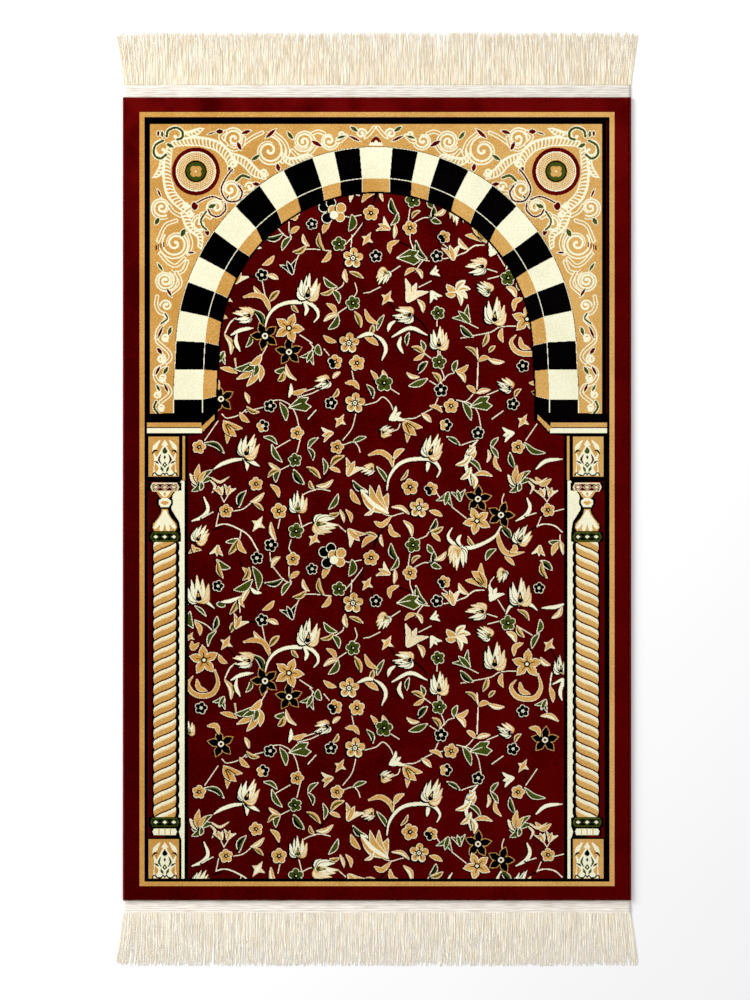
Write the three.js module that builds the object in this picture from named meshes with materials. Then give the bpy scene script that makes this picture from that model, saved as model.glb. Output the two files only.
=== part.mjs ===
// A flat prayer rug with a fringe at both ends, 70 x 110 cm, lying face up.
// Millimetres, +Z up, +X across the rug, +Y towards the end with the arch.
// The origin is under the middle of the rug, on the surface that it lies on.
import * as THREE from 'three';
import { ConvexGeometry } from 'three/addons/geometries/ConvexGeometry.js';

// Driving dimensions
const RUG_WIDTH = 700;
const RUG_LENGTH = 1105;
const RUG_HEIGHT = 7;
const PILE_SHOULDER_HEIGHT = 5.2;
const PILE_SHOULDER_INSET = 1.2;
const SELVEDGE_WIDTH = 3.6;
const SELVEDGE_HEIGHT = 5.4;
const SELVEDGE_SIDES = 8;
const SELVEDGE_FOOT_WIDTH = 1.6;
const PARTING = 0.3;
const BAND_LENGTH = 18;
const BAND_WIDTH = 699;
const FRINGE_LENGTH = 72;
const FRINGE_HEIGHT = 2;
const STRAND_COUNT = 150;
const STRAND_ROOT_SHARE = 0.78;
const STRAND_TIP_WIDTH = 2.4;
const STRAND_UNEVENNESS = 5;
const STRAND_SWAY = 1;
const FLARE_REACH = 11;
const FLARE_POWER = 9;
const WAIST = 0.45;
const WAIST_FLARE_SHARE = 0.38;

const RED = { color: 0x6e0c10, roughness: 0.95, metalness: 0 };
const SELVEDGE_RED = { color: 0x7d1216, roughness: 0.9, metalness: 0 };
const CREAM = { color: 0xf0e6d2, roughness: 0.9, metalness: 0 };

function namedMesh(name, geometry, finish) {
  const mesh = new THREE.Mesh(geometry, new THREE.MeshStandardMaterial(finish));
  mesh.name = name;
  return mesh;
}

// The woven body: a slab whose pile edge is rounded off by one sloping shoulder.
function rugBody() {
  const half = new THREE.Vector2(RUG_WIDTH / 2 - SELVEDGE_WIDTH - PARTING, RUG_LENGTH / 2);
  const levels = [
    { z: 0, inset: 0 },
    { z: PILE_SHOULDER_HEIGHT, inset: 0 },
    { z: RUG_HEIGHT, inset: PILE_SHOULDER_INSET },
  ];
  const corners = [];
  for (const { z, inset } of levels) {
    for (const sideX of [-1, 1]) {
      for (const sideY of [-1, 1]) {
        corners.push(new THREE.Vector3(sideX * (half.x - inset), sideY * (half.y - inset), z));
      }
    }
  }
  return namedMesh('rug_body', new ConvexGeometry(corners), RED);
}

// An overcast edge: a round cord of yarn turns with a narrow flat foot that rests on the floor.
function selvedge(name, side) {
  const outline = new THREE.Shape();
  const middle = SELVEDGE_HEIGHT / 2;
  outline.moveTo(-SELVEDGE_FOOT_WIDTH / 2, 0);
  outline.lineTo(SELVEDGE_FOOT_WIDTH / 2, 0);
  for (let i = 1; i < SELVEDGE_SIDES; i += 1) {
    const turn = -Math.PI / 2 + (2 * Math.PI * i) / SELVEDGE_SIDES;
    outline.lineTo((SELVEDGE_WIDTH / 2) * Math.cos(turn), middle + middle * Math.sin(turn));
  }
  outline.closePath();
  const cord = new THREE.ExtrudeGeometry(outline, { depth: RUG_LENGTH, bevelEnabled: false, steps: 1 });
  cord.rotateX(Math.PI / 2);
  cord.translate(side * (RUG_WIDTH / 2 - SELVEDGE_WIDTH / 2), RUG_LENGTH / 2, 0);
  return namedMesh(name, cord, SELVEDGE_RED);
}

// A repeatable number from 0 to 1 for each strand.
function chance(strand, stream) {
  const wave = Math.sin(strand * 12.9898 + stream * 78.233) * 43758.5453;
  return wave - Math.floor(wave);
}

// Where a strand lies: its root, its slightly swaying middle and its tip.
// The outer strands spread outwards, and the two outermost and the longest one reach the full size.
function strandLine(strand, stream) {
  const pitch = BAND_WIDTH / STRAND_COUNT;
  const root = -BAND_WIDTH / 2 + pitch * (strand + 0.5);
  const across = root / (BAND_WIDTH / 2 - pitch / 2);
  const outermost = strand === 0 || strand === STRAND_COUNT - 1;
  const flare = FLARE_REACH * Math.sign(across) * Math.abs(across) ** FLARE_POWER;
  const sway = outermost ? 0 : STRAND_SWAY * (chance(strand, stream) - 0.5);
  const shorter = strand === STRAND_COUNT / 2 ? 0 : STRAND_UNEVENNESS * chance(strand, stream + 1) ** 2;
  return {
    rootX: root,
    middleX: root + flare * WAIST_FLARE_SHARE + sway / 2,
    tipX: root + flare + sway,
    length: FRINGE_LENGTH - shorter,
  };
}

// The header band and its fringe, as one comb: the band is the strip that all strands grow from.
// The comb is drawn for the top end, then turned half round for the bottom end.
function fringe(name, stream, turn) {
  const pitch = BAND_WIDTH / STRAND_COUNT;
  const rootHalf = (pitch * STRAND_ROOT_SHARE) / 2;
  const middleHalf = rootHalf * (1 - WAIST) + (STRAND_TIP_WIDTH / 2) * WAIST;
  const bandStart = RUG_LENGTH / 2 + PARTING;
  const bandEnd = bandStart + BAND_LENGTH;
  const comb = new THREE.Shape();
  comb.moveTo(-BAND_WIDTH / 2, bandStart);
  comb.lineTo(BAND_WIDTH / 2, bandStart);
  comb.lineTo(BAND_WIDTH / 2, bandEnd);
  for (let strand = STRAND_COUNT - 1; strand >= 0; strand -= 1) {
    const { rootX, middleX, tipX, length } = strandLine(strand, stream);
    comb.lineTo(rootX + rootHalf, bandEnd);
    comb.lineTo(middleX + middleHalf, bandEnd + length * WAIST);
    comb.lineTo(tipX + STRAND_TIP_WIDTH / 2, bandEnd + length);
    comb.lineTo(tipX - STRAND_TIP_WIDTH / 2, bandEnd + length);
    comb.lineTo(middleX - middleHalf, bandEnd + length * WAIST);
    comb.lineTo(rootX - rootHalf, bandEnd);
  }
  comb.lineTo(-BAND_WIDTH / 2, bandEnd);
  comb.closePath();
  const flat = new THREE.ExtrudeGeometry(comb, { depth: FRINGE_HEIGHT, bevelEnabled: false, steps: 1 });
  flat.rotateZ(turn);
  return namedMesh(name, flat, CREAM);
}

const rug = new THREE.Group();
rug.add(rugBody());
rug.add(selvedge('selvedge_left', -1));
rug.add(selvedge('selvedge_right', 1));
rug.add(fringe('fringe_top', 1, 0));
rug.add(fringe('fringe_bottom', 3, Math.PI));

export default rug;
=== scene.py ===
import bpy
import numpy as np
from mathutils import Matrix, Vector


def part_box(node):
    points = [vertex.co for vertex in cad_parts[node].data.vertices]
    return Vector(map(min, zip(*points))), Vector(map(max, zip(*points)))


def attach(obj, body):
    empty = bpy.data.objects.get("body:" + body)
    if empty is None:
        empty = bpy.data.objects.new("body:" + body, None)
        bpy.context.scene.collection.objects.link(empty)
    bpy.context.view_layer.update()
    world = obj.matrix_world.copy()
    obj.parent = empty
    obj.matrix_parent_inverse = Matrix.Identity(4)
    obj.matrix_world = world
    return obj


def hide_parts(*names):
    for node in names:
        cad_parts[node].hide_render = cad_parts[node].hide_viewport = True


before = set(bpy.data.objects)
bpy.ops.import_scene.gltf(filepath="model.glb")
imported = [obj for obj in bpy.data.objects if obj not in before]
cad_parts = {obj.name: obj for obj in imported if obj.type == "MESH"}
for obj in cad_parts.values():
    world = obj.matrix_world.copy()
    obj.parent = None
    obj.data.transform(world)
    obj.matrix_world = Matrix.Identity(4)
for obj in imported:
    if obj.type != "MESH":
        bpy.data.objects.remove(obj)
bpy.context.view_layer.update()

# The ground weave: cotton warps and jute wefts, which hold the knots and show on the back only.
# It is the one sheet of cloth in the rug, a flat slab in plain weave under the pile.
# Its wefts lie on the back as fine ribs across the rug.
MILLIMETRE = 0.001
body_low, body_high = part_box("rug_body")
WEAVE_TOP = 2.6 * MILLIMETRE
WEAVE_FOOT = 0.2 * MILLIMETRE
WEAVE_INSET = 0.4 * MILLIMETRE
WEFT_SPACING = 3.2 * MILLIMETRE
WEFT_HEIGHT = 0.6 * MILLIMETRE
STEPS_PER_WEFT = 4
# At scale 1 a wave texture has 20 bands in 2 pi metres
BANDS_PER_METRE = 10 / np.pi
# Nothing sinks into the floor: what rests on it stays this far above
FLOOR_CLEARANCE = 0.05 * MILLIMETRE


def linear(hex_colour):
    """An sRGB hex colour as linear red, green, blue and alpha."""
    channels = [(hex_colour >> shift & 255) / 255 for shift in (16, 8, 0)]
    return [c / 12.92 if c <= 0.04045 else ((c + 0.055) / 1.055) ** 2.4 for c in channels] + [1]


def add_node(tree, kind, inputs=(), **settings):
    """Adds a node with its settings; an input takes a value, or another node's output."""
    node = tree.nodes.new(kind)
    for name, value in settings.items():
        setattr(node, name, value)
    for name, value in dict(inputs).items():
        if isinstance(value, bpy.types.NodeSocket):
            tree.links.new(value, node.inputs[name])
        else:
            node.inputs[name].default_value = value
    return node


def fibre_material(name, roughness, gloss, sheen, sheen_hex):
    """A matt fibre finish: its node tree, its shader, and the place on the rug in metres."""
    material = bpy.data.materials.new(name)
    material.use_nodes = True
    tree = material.node_tree
    shader = tree.nodes["Principled BSDF"]
    shader.inputs["Roughness"].default_value = roughness
    shader.inputs["Specular IOR Level"].default_value = gloss
    shader.inputs["Sheen Weight"].default_value = sheen
    shader.inputs["Sheen Tint"].default_value = linear(sheen_hex)
    return material, tree, shader, add_node(tree, "ShaderNodeTexCoord").outputs["Object"]


def blend(tree, share, low, high):
    """A mix of two colours, each an sRGB hex colour or another node's output, by a share from 0 to 1."""
    ends = [linear(colour) if isinstance(colour, int) else colour for colour in (low, high)]
    mix = add_node(tree, "ShaderNodeMix", {0: share, 6: ends[0], 7: ends[1]}, data_type="RGBA")
    return mix.outputs[2]


def rug_piece(name, corners, faces, material, smooth=False):
    """Makes one piece from its corners and faces, and fixes it to the rug."""
    mesh = bpy.data.meshes.new(name)
    mesh.from_pydata(np.asarray(corners, float).reshape(-1, 3).tolist(), [], faces)
    mesh.materials.append(material)
    mesh.polygons.foreach_set("use_smooth", [smooth] * len(mesh.polygons))
    piece = bpy.data.objects.new(name, mesh)
    bpy.context.scene.collection.objects.link(piece)
    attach(piece, "root")
    return piece


def tube_faces(rings, sides):
    """The faces of a tube of rings that have the same number of corners, with both its ends."""
    corner = np.arange(rings * sides).reshape(rings, sides)
    corner = np.append(corner, corner[:, :1], 1)
    quads = np.stack((corner[:-1, :-1], corner[:-1, 1:], corner[1:, 1:], corner[1:, :-1]), -1)
    return quads.reshape(-1, 4).tolist() + [corner[0, :-1][::-1].tolist(), corner[-1, :-1].tolist()]


# Plain-woven jute: straw-coloured crossings, with painted shade in the pits between them
jute, tree, shader, place = fibre_material("jute_and_cotton_plain_weave", 0.95, 0.1, 0.1, 0xC8B48C)
bands_scale = 1 / WEFT_SPACING / BANDS_PER_METRE
across_bands = {"Vector": place, "Scale": bands_scale, "Distortion": 1.5}
wefts = add_node(tree, "ShaderNodeTexWave", across_bands, bands_direction="Y")
along_bands = {"Vector": place, "Scale": 1.4 * bands_scale, "Distortion": 1}
warps = add_node(tree, "ShaderNodeTexWave", along_bands, bands_direction="X")
crossings = add_node(
    tree, "ShaderNodeMath", {0: wefts.outputs["Fac"], 1: warps.outputs["Fac"]}, operation="MULTIPLY"
)
jute_with_painted_shade = blend(tree, crossings.outputs[0], 0x7A6242, 0xC2AC80)
raised = add_node(
    tree, "ShaderNodeBump", {"Height": crossings.outputs[0], "Strength": 0.6, "Distance": 0.3 * MILLIMETRE}
)
tree.links.new(jute_with_painted_shade, shader.inputs["Base Color"])
tree.links.new(raised.outputs["Normal"], shader.inputs["Normal"])

weft_count = round((body_high.y - body_low.y) / WEFT_SPACING)
turns = np.arange(weft_count * STEPS_PER_WEFT + 1) / STEPS_PER_WEFT
weave_half = np.array((body_high.x, body_high.y)) - WEAVE_INSET
corners = np.empty((len(turns), 4, 3))
corners[..., 0] = weave_half[0] * np.array((-1, 1, 1, -1))
corners[..., 1] = weave_half[1] * (2 * turns[:, None] / weft_count - 1)
corners[:, :2, 2] = (WEAVE_FOOT + WEFT_HEIGHT * (0.5 + 0.5 * np.cos(2 * np.pi * turns)))[:, None]
corners[:, 2:, 2] = WEAVE_TOP
ground_weave = rug_piece("ground_weave", corners, tube_faces(len(turns), 4), jute)
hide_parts("rug_body")

# The knotting chart: on squared paper a weaver plans which yarn each knot is tied with.
# Its places are counted in knots: across from the middle of the rug, and up from its foot.
# A knot has two tufts each way, so a slanting line of the pattern steps as softly as in the pile.
RUG_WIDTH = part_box("selvedge_right")[1].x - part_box("selvedge_left")[0].x
RUG_LENGTH = body_high.y - body_low.y
KNOTS_ACROSS = 509
TUFTS_PER_KNOT = 2
STEPS_PER_SPAN = 5
TUFT = RUG_WIDTH / KNOTS_ACROSS / TUFTS_PER_KNOT
COLUMNS = round(RUG_WIDTH / TUFT)
ROWS = round(RUG_LENGTH / TUFT)
WINE, GOLD, BLACK, CREAM, GREEN, STRAW = range(6)
chart = np.full((ROWS, COLUMNS), WINE, np.uint8)
tuft_across = (np.arange(COLUMNS) + 0.5) / TUFTS_PER_KNOT - KNOTS_ACROSS / 2
tuft_up = (np.arange(ROWS) + 0.5) / TUFTS_PER_KNOT


def patch(points, margin):
    """The tufts round some points: where they are in the chart, and their places in knots."""
    left, right = np.searchsorted(tuft_across, (points.real.min() - margin, points.real.max() + margin))
    low, high = np.searchsorted(tuft_up, (points.imag.min() - margin, points.imag.max() + margin))
    return (slice(low, high), slice(left, right)), tuft_across[left:right] + 1j * tuft_up[low:high, None]


def fill(points, yarn):
    """Knots a closed outline full of one yarn."""
    points = np.asarray(points)
    place, tufts = patch(points, 1)
    inside = np.zeros(tufts.shape, bool)
    for a, b in zip(points, np.roll(points, -1)):
        if a.imag != b.imag:
            beside = a.real + (b.real - a.real) * (tufts.imag - a.imag) / (b.imag - a.imag)
            inside ^= ((a.imag > tufts.imag) != (b.imag > tufts.imag)) & (tufts.real < beside)
    chart[place][inside] = yarn


def line(points, width, yarn):
    """Knots a line whose width runs evenly through the widths given for it."""
    points = np.asarray(points)
    width = np.atleast_1d(width)
    widths = np.interp(np.linspace(0, 1, len(points)), np.linspace(0, 1, len(width)), width)
    place, tufts = patch(points, widths.max())
    knotted = np.zeros(tufts.shape, bool)
    for a, b, start, end in zip(points, points[1:], widths, widths[1:]):
        run = b - a
        share = np.clip(((tufts - a) * np.conj(run)).real / (abs(run) ** 2 + 1e-9), 0, 1)
        knotted |= abs(tufts - a - share * run) < (start + share * (end - start)) / 2
    chart[place][knotted] = yarn


def disc(centre, radius, yarn):
    place, tufts = patch(np.array([centre]), radius)
    chart[place][abs(tufts - centre) < radius] = yarn


def curve(*points):
    """A smooth line through a few points."""
    points = np.array(points)
    if len(points) < 3:
        return points
    ends = np.concatenate(([2 * points[0] - points[1]], points, [2 * points[-1] - points[-2]]))
    a, b, c, d = ends[:-3], ends[1:-2], ends[2:-1], ends[3:]
    t = np.arange(STEPS_PER_SPAN)[:, None] / STEPS_PER_SPAN
    smooth = b + (c - a) * t / 2 + (a - 2.5 * b + 2 * c - d / 2) * t**2
    smooth += (1.5 * (b - c) + (d - a) / 2) * t**3
    return np.append(smooth.T.ravel(), points[-1])


def turn(degrees, radius=1):
    """The step of a length in a direction, 0 to the right and 90 to the head of the rug."""
    return radius * np.exp(1j * np.radians(degrees))


# The field: flowering stems strewn over wine red, in a repeat of 345 knots up the rug.
# The weaver rims every petal with a light yarn, and a line of black knots on its lower left
# lifts it off the ground.
REPEAT_FEET = (-184.4, 160.6, 505.6)
FIFTH_TURN = 72
RIM = 1.1
SHADOW = -1 - 0.6j
LEAF_SWELL = np.array((0.1, 0.55, 0.9, 1, 0.85, 0.5, 0.05))
BENDS = (0.16, -0.1, 0.06, -0.16)
# How far the petals stand from the eye of a rosette, and their radius, as shares of its size
ROSETTE_REACH = 0.3
ROSETTE_PETAL = 0.19
GOLD_ROSETTE_REACH = 0.31
GOLD_ROSETTE_PETAL = 0.18
BLACK_STEM_WIDTH = 1.5
LONG_STEM_WIDTH = 1.3
BRANCH_WIDTHS = np.array((1.2, 3.2, 3.8, 3.4, 1))
HOOK_WIDTHS = (2, 5, 5.6, 5, 1.2)
HOOK_HEART_WIDTHS = (0.8, 3.6, 4, 3.4, 0.4)


def leaf(base, tip, width, yarn, rim=CREAM, bend=0.14, shadow=BLACK, shade=None):
    """A leaf or petal that swells from its base and bends to a pointed tip."""
    spine = curve(base, (base + tip) / 2 + bend * 1j * (tip - base), tip)
    swell = LEAF_SWELL * width
    if shadow is not None:
        line(spine + SHADOW, swell + RIM, shadow)
    line(spine, swell + RIM, rim)
    line(spine, swell - 0.3, yarn)
    if shade is not None:
        line(spine[:-1] + 0.2 * width * turn(215), 0.42 * swell[:-1], shade)


def rosette(at, size, yarn, other=None):
    """Five round petals, each with a thin rim, about a black eye with a cream dot."""
    first = 90 + 16 * np.sin(at.real + at.imag)
    petals = [at + turn(first + FIFTH_TURN * k, ROSETTE_REACH * size) for k in range(5)]
    colours = [other if other is not None and k in (1, 2) else yarn for k in range(5)]
    for petal in petals:
        disc(petal + SHADOW, ROSETTE_PETAL * size + 0.9, BLACK)
    for petal in petals:
        disc(petal, ROSETTE_PETAL * size + 0.6, CREAM)
    for petal, colour in zip(petals, colours):
        disc(petal, ROSETTE_PETAL * size, colour)
    if yarn == BLACK:
        disc(at, 0.1 * size, CREAM)
        disc(at, 0.045 * size, BLACK)
        return
    for k in range(5):
        line([at, at + turn(first + FIFTH_TURN * (k + 0.5), 0.25 * size)], (1.4, 0.6), BLACK)
    disc(at, 0.15 * size, BLACK)
    disc(at + 0.3, 0.05 * size, CREAM)


def gold_rosette(at, size):
    """A larger rosette, its five gold petals standing apart on black, with a white glint on each."""
    petals = [at + turn(84 + FIFTH_TURN * k, GOLD_ROSETTE_REACH * size) for k in range(5)]
    for petal in petals:
        disc(petal + 0.6 * SHADOW, GOLD_ROSETTE_PETAL * size + 1.3, BLACK)
    for number, petal in enumerate(petals):
        disc(petal, GOLD_ROSETTE_PETAL * size, CREAM if number in (2, 3) else STRAW)
        disc(petal + 0.3 + 0.4j, GOLD_ROSETTE_PETAL * size - 0.8, GOLD)
        line([at, petal], (1.8, 0.6), BLACK)
    disc(at, 0.09 * size, CREAM)
    disc(at, 0.04 * size, BLACK)


def star(at, size, yarn, rim, turned=90):
    """A flower of five broad pointed petals round a small ring."""
    rays = [turned + FIFTH_TURN * k for k in range(5)]
    tips = [at + turn(ray + 5 * np.sin(3 * k + at.real), 0.56 * size) for k, ray in enumerate(rays)]
    petal = np.array((0.16, 0.29, 0.18, 0.01)) * size
    for shift, edge, colour in ((SHADOW, 1.6, BLACK), (0, 1.3, rim), (0, 0, yarn)):
        for tip in tips:
            spine = np.array((at, (9 * at + 11 * tip) / 20, (at + 3 * tip) / 4, tip))
            line(spine + shift, petal + edge, colour)
    if yarn != BLACK:
        for ray in rays:
            line([at, at + turn(ray, 0.3 * size)], (1.4, 0.6), BLACK)
    disc(at, 0.12 * size, BLACK if yarn != BLACK else CREAM)
    disc(at, 0.06 * size, CREAM if yarn != BLACK else WINE)


PALMETTE_PETALS = ((76, 0.56), (-76, 0.58), (48, 0.76), (-48, 0.78), (22, 0.9), (-22, 0.88), (0, 1.02))
PALMETTE_PETAL = np.array((0.24, 0.3, 0.2, 0.02))
# A palmette is drawn a little smaller than the room that it takes
PALMETTE_SHARE = 0.88


def palmette(at, size, turned, heart=BLACK):
    """A flame-like flower: pointed petals that bend up out of a round cup about a dark heart."""
    size *= PALMETTE_SHARE
    foot = at - turn(turned, 0.42 * size)
    petals = []
    for lean, reach in PALMETTE_PETALS:
        lean += 6 * np.sin(lean + at.real)
        belly = foot + turn(turned + 1.25 * lean, 0.4 * size * (0.5 + 0.5 * reach))
        petals.append((curve(foot, belly, foot + turn(turned + 0.7 * lean, reach * size)), lean))
    for route, _ in petals:
        line(route + SHADOW, PALMETTE_PETAL * size + 1.3, BLACK)
    for route, lean in petals:
        line(route, PALMETTE_PETAL * size + 0.7, GOLD if lean <= 0 else BLACK)
        line(route + 0.4 * turn(turned), PALMETTE_PETAL * size - 0.2, STRAW if lean < -40 else CREAM)
    ends = [foot + turn(turned, share * size) for share in (0.06, 0.42)]
    line(ends, np.array((0.24, 0.3, 0.05)) * size, heart)
    line([foot + turn(turned, 0.16 * size), foot + turn(turned, 0.26 * size)], 0.07 * size, GOLD)
    line([foot + turn(turned + 14, 0.5 * size), foot + turn(turned + 12, 0.76 * size)], (0.9, 0.4), BLACK)
    line([foot + turn(turned - 16, 0.46 * size), foot + turn(turned - 17, 0.7 * size)], (1.1, 0.4), GOLD)


def tulip(at, size, turned, cup):
    """A cup of three pointed petals, the outer two turned back, with a dark slit beside the middle one."""
    foot = at - turn(turned, 0.42 * size)
    petals = []
    for lean, reach in ((-34, 0.95), (34, 0.95), (4, 0.82)):
        belly = foot + turn(turned + 0.75 * lean, 0.45 * size)
        petals.append((lean, curve(foot, belly, foot + turn(turned + 1.1 * lean, reach * size))))
    petal = np.array((0.2, 0.3, 0.22, 0.02)) * size
    for _, route in petals:
        line(route + SHADOW, petal + 1.4, BLACK)
    for lean, route in petals:
        line(route, petal + 1, CREAM)
        line(route, petal - 0.3, STRAW if lean < 0 and cup == GOLD else cup)
    ends = [foot + turn(turned + 12, 0.4 * size), foot + turn(turned + 20, 0.75 * size)]
    line(ends, (0.5, 0.09 * size, 0.5), BLACK)


def star_bud(at, size, yarn):
    """A small bud with four uneven points."""
    points = ((60, 0.58), (150, 0.44), (235, 0.6), (330, 0.52))
    for lean, reach in points:
        line([at + SHADOW, at + SHADOW + turn(lean, reach * size)], (0.5 * size, 0.6), BLACK)
    for lean, reach in points:
        line([at, at + turn(lean, reach * size)], (0.48 * size, 0.5), STRAW)
    for lean, reach in points[::2]:
        line([at, at + turn(lean, 0.7 * reach * size)], (0.3 * size, 0.4), yarn)


def heart_leaf(at, size, turned):
    """A broad barbed leaf, green inside a cream rim."""
    outline = np.array((
        0.5, 0.1 + 0.24j, -0.2 + 0.42j, -0.48 + 0.3j, -0.28 + 0.06j, -0.5 - 0.12j, -0.1 - 0.26j,
    ))
    points = at + outline * size * turn(turned)
    line(np.append(points, points[0]), 1.5, CREAM)
    fill(points, GREEN)
    line([points[0], at - turn(turned, 0.1 * size)], 0.8, CREAM)


def bell(at, size, turned):
    """A hanging bell: two long gold petals with a round one between them, parted by dark and green lines."""
    for lean, reach, width in ((-92, 1, 0.26), (-32, 0.88, 0.26), (-62, 0.86, 0.36)):
        tip = at + turn(turned + lean, reach * size)
        leaf(at, tip, width * size, GOLD, STRAW, bend=0.1 if lean < -62 else -0.1)
    for lean, reach, yarn in ((-78, 0.66, BLACK), (-46, 0.66, BLACK), (-62, 0.5, GREEN)):
        ends = [at + turn(turned + lean, share * size) for share in (0.2, reach)]
        line(ends, (1.2, 2.4, 1), yarn)


SHEAF = (
    (-9 - 1j, 5, GREEN), (-9 - 8j, 5, GREEN), (12 + 4j, 5, GREEN), (11 + 13j, 5, GREEN),
    (-11 + 9j, 5, STRAW), (-2 + 18j, 6, GOLD), (5 + 12j, 4, GOLD), (-1 - 7j, 4, GREEN),
)


def sheaf(at):
    """A lily head lying on its side: gold petals up out of green leaves, and two gold tendrils."""
    for reach, width, yarn in SHEAF:
        leaf(at - 0.15 * reach, at + reach, width, yarn, STRAW if yarn == GOLD else CREAM)
    for route in ((11 + 5j, 19 + 1j, 28 + 6j), (10 + 2j, 14 - 3j, 11 - 10j)):
        line(curve(*(np.array(route) + at + SHADOW)), (2, 3.6, 1), BLACK)
        line(curve(*(np.array(route) + at)), (1.6, 3, 0.8), STRAW)


def stem(*points, yarn=CREAM, width=0.9):
    line(curve(*points), width, yarn)


def branch(*points):
    """A thick white branch with a black shadow, tapered at its ends."""
    route = curve(*points)
    line(route + SHADOW, BRANCH_WIDTHS + 1, BLACK)
    line(route, BRANCH_WIDTHS, CREAM)


def gold_hook(*points):
    """A gold tendril in a straw rim, that rolls in at its tip."""
    route = curve(*points)
    line(route + SHADOW, HOOK_WIDTHS, BLACK)
    line(route, HOOK_WIDTHS, STRAW)
    line(route, HOOK_HEART_WIDTHS, GOLD)


def berry(at, radius, yarn):
    disc(at + SHADOW, radius + 0.9, BLACK)
    disc(at, radius + 0.6, CREAM)
    disc(at, radius - 0.2, yarn)


# Where the stems, leaves and flowers of one repeat lie, across and up from its foot
THIN_STEMS = (
    (26 + 321j, 38 + 322j, 47 + 327j, 57 + 332j, 67 + 334j), (23 + 316j, 21 + 311j, 16 + 309j),
    (85 + 295j, 93 + 298j, 101 + 300j), (127 + 246j, 125 + 240j, 125 + 232j), (175 + 228j, 187 + 231j),
    (-33 + 119j, -34 + 110j, -41 + 105j), (-67 + 52j, -63 + 46j, -66 + 40j),
    (-79 - 2j, -67 + 1j, -58 + 5j), (35 + 149j, 38 + 141j, 43 + 136j, 52 + 134j),
    (65 + 136j, 77 + 138j, 84 + 141j), (60 + 75j, 60 + 69j), (61 + 45j, 61 + 38j),
    (97 + 2j, 92 - 4j, 88 - 7j), (61 - 3j, 58 - 10j), (-40 + 240j, -44 + 237j, -49 + 230j),
    (-136 + 209j, -137 + 202j), (-74 + 245j, -69 + 248j, -62 + 250j),
    (-131 + 328j, -117 + 332j, -107 + 334j), (17 + 280j, 16 + 270j),
    (4 + 227j, 14 + 224j, 22 + 226j, 31 + 228j), (-172 + 300j, -159 + 319j),
    (-155 + 326j, -150 + 322j, -138 + 325j, -129 + 332j),
    (-105 + 339j, -97 + 340j, -87 + 335j, -81 + 325j, -78 + 313j), (-77 + 300j, -80 + 288j),
    (-21 + 327j, -25 + 312j, -34 + 300j), (-34 + 295j, -24 + 298j, -19 + 294j, -17 + 288j),
    (-12 + 335j, -1 + 338j, 6 + 343j, 13 + 337j, 17 + 328j),
    (80 + 340j, 94 + 336j, 101 + 327j, 104 + 312j), (149 + 300j, 160 + 316j), (-158 + 228j, -161 + 214j),
    (-103 + 172j, -94 + 161j, -86 + 156j), (-107 + 188j, -106 + 175j, -103 + 172j),
    (-81 + 134j, -76 + 143j, -67 + 146j, -46 + 144j), (-31 + 151j, -24 + 159j, -14 + 172j),
    (95 + 59j, 114 + 63j, 123 + 68j, 140 + 69j), (-78 + 225j, -75 + 213j),
    (-75 + 213j, -67 + 217j, -59 + 217j), (-39 + 215j, -31 + 208j), (-97 + 221j, -99 + 212j),
    (-86 + 200j, -88 + 192j, -86 + 188j), (-88 + 173j, -88 + 165j, -86 + 158j),
    (-16 + 180j, -27 + 178j, -34 + 179j), (-25 + 160j, -26 + 148j), (31 + 173j, 33 + 187j),
    (38 + 173j, 46 + 177j, 53 + 178j, 56 + 183j), (42 + 201j, 49 + 204j, 53 + 210j),
    (33 + 160j, 34 + 152j, 41 + 140j, 47 + 136j), (47 + 136j, 41 + 128j, 39 + 123j),
    (23 + 129j, 14 + 123j), (3 + 108j, -7 + 103j, -13 + 102j), (-22 + 112j, -20 + 104j, -23 + 98j),
    (-39 + 82j, -30 + 88j), (54 + 114j, 42 + 108j), (63 + 48j, 63 + 39j), (47 + 42j, 55 + 36j),
    (53 + 14j, 61 + 9j), (64 + 26j, 67 + 18j, 64 + 12j), (14 + 6j, 22 + 1j), (-25 + 24j, -23 + 14j),
    (-48 + 40j, -53 + 46j), (-77 + 60j, -65 + 52j), (-64 + 48j, -66 + 42j), (-115 + 40j, -110 + 49j),
    (-115 + 115j, -112 + 100j), (-182 + 120j, -172 + 116j, -165 + 110j), (107 + 127j, 120 + 123j),
    (111 + 116j, 123 + 119j), (140 + 114j, 155 + 105j), (129 + 127j, 121 + 140j),
    (117 + 163j, 113 + 157j, 114 + 150j), (63 + 153j, 71 + 147j), (160 + 213j, 164 + 223j),
    (183 + 205j, 183 + 199j), (91 + 72j, 101 + 67j), (118 + 71j, 123 + 68j), (110 + 0j, 122 + 5j),
    (67 + 15j, 71 + 20j, 77 + 22j), (-153 + 238j, -157 + 246j), (-153 + 238j, -148 + 246j),
    (170 + 238j, 165 + 245j), (170 + 238j, 174 + 245j), (84 + 57j, 93 + 58j), (-77 + 2j, -62 + 7j),
    (-64 + 250j, -57 + 251j, -47 + 249j), (-101 + 292j, -87 + 300j), (-97 + 270j, -85 + 276j),
    (-143 + 229j, -134 + 231j, -125 + 238j), (59 + 248j, 65 + 240j, 75 + 233j, 89 + 222j),
)
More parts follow.
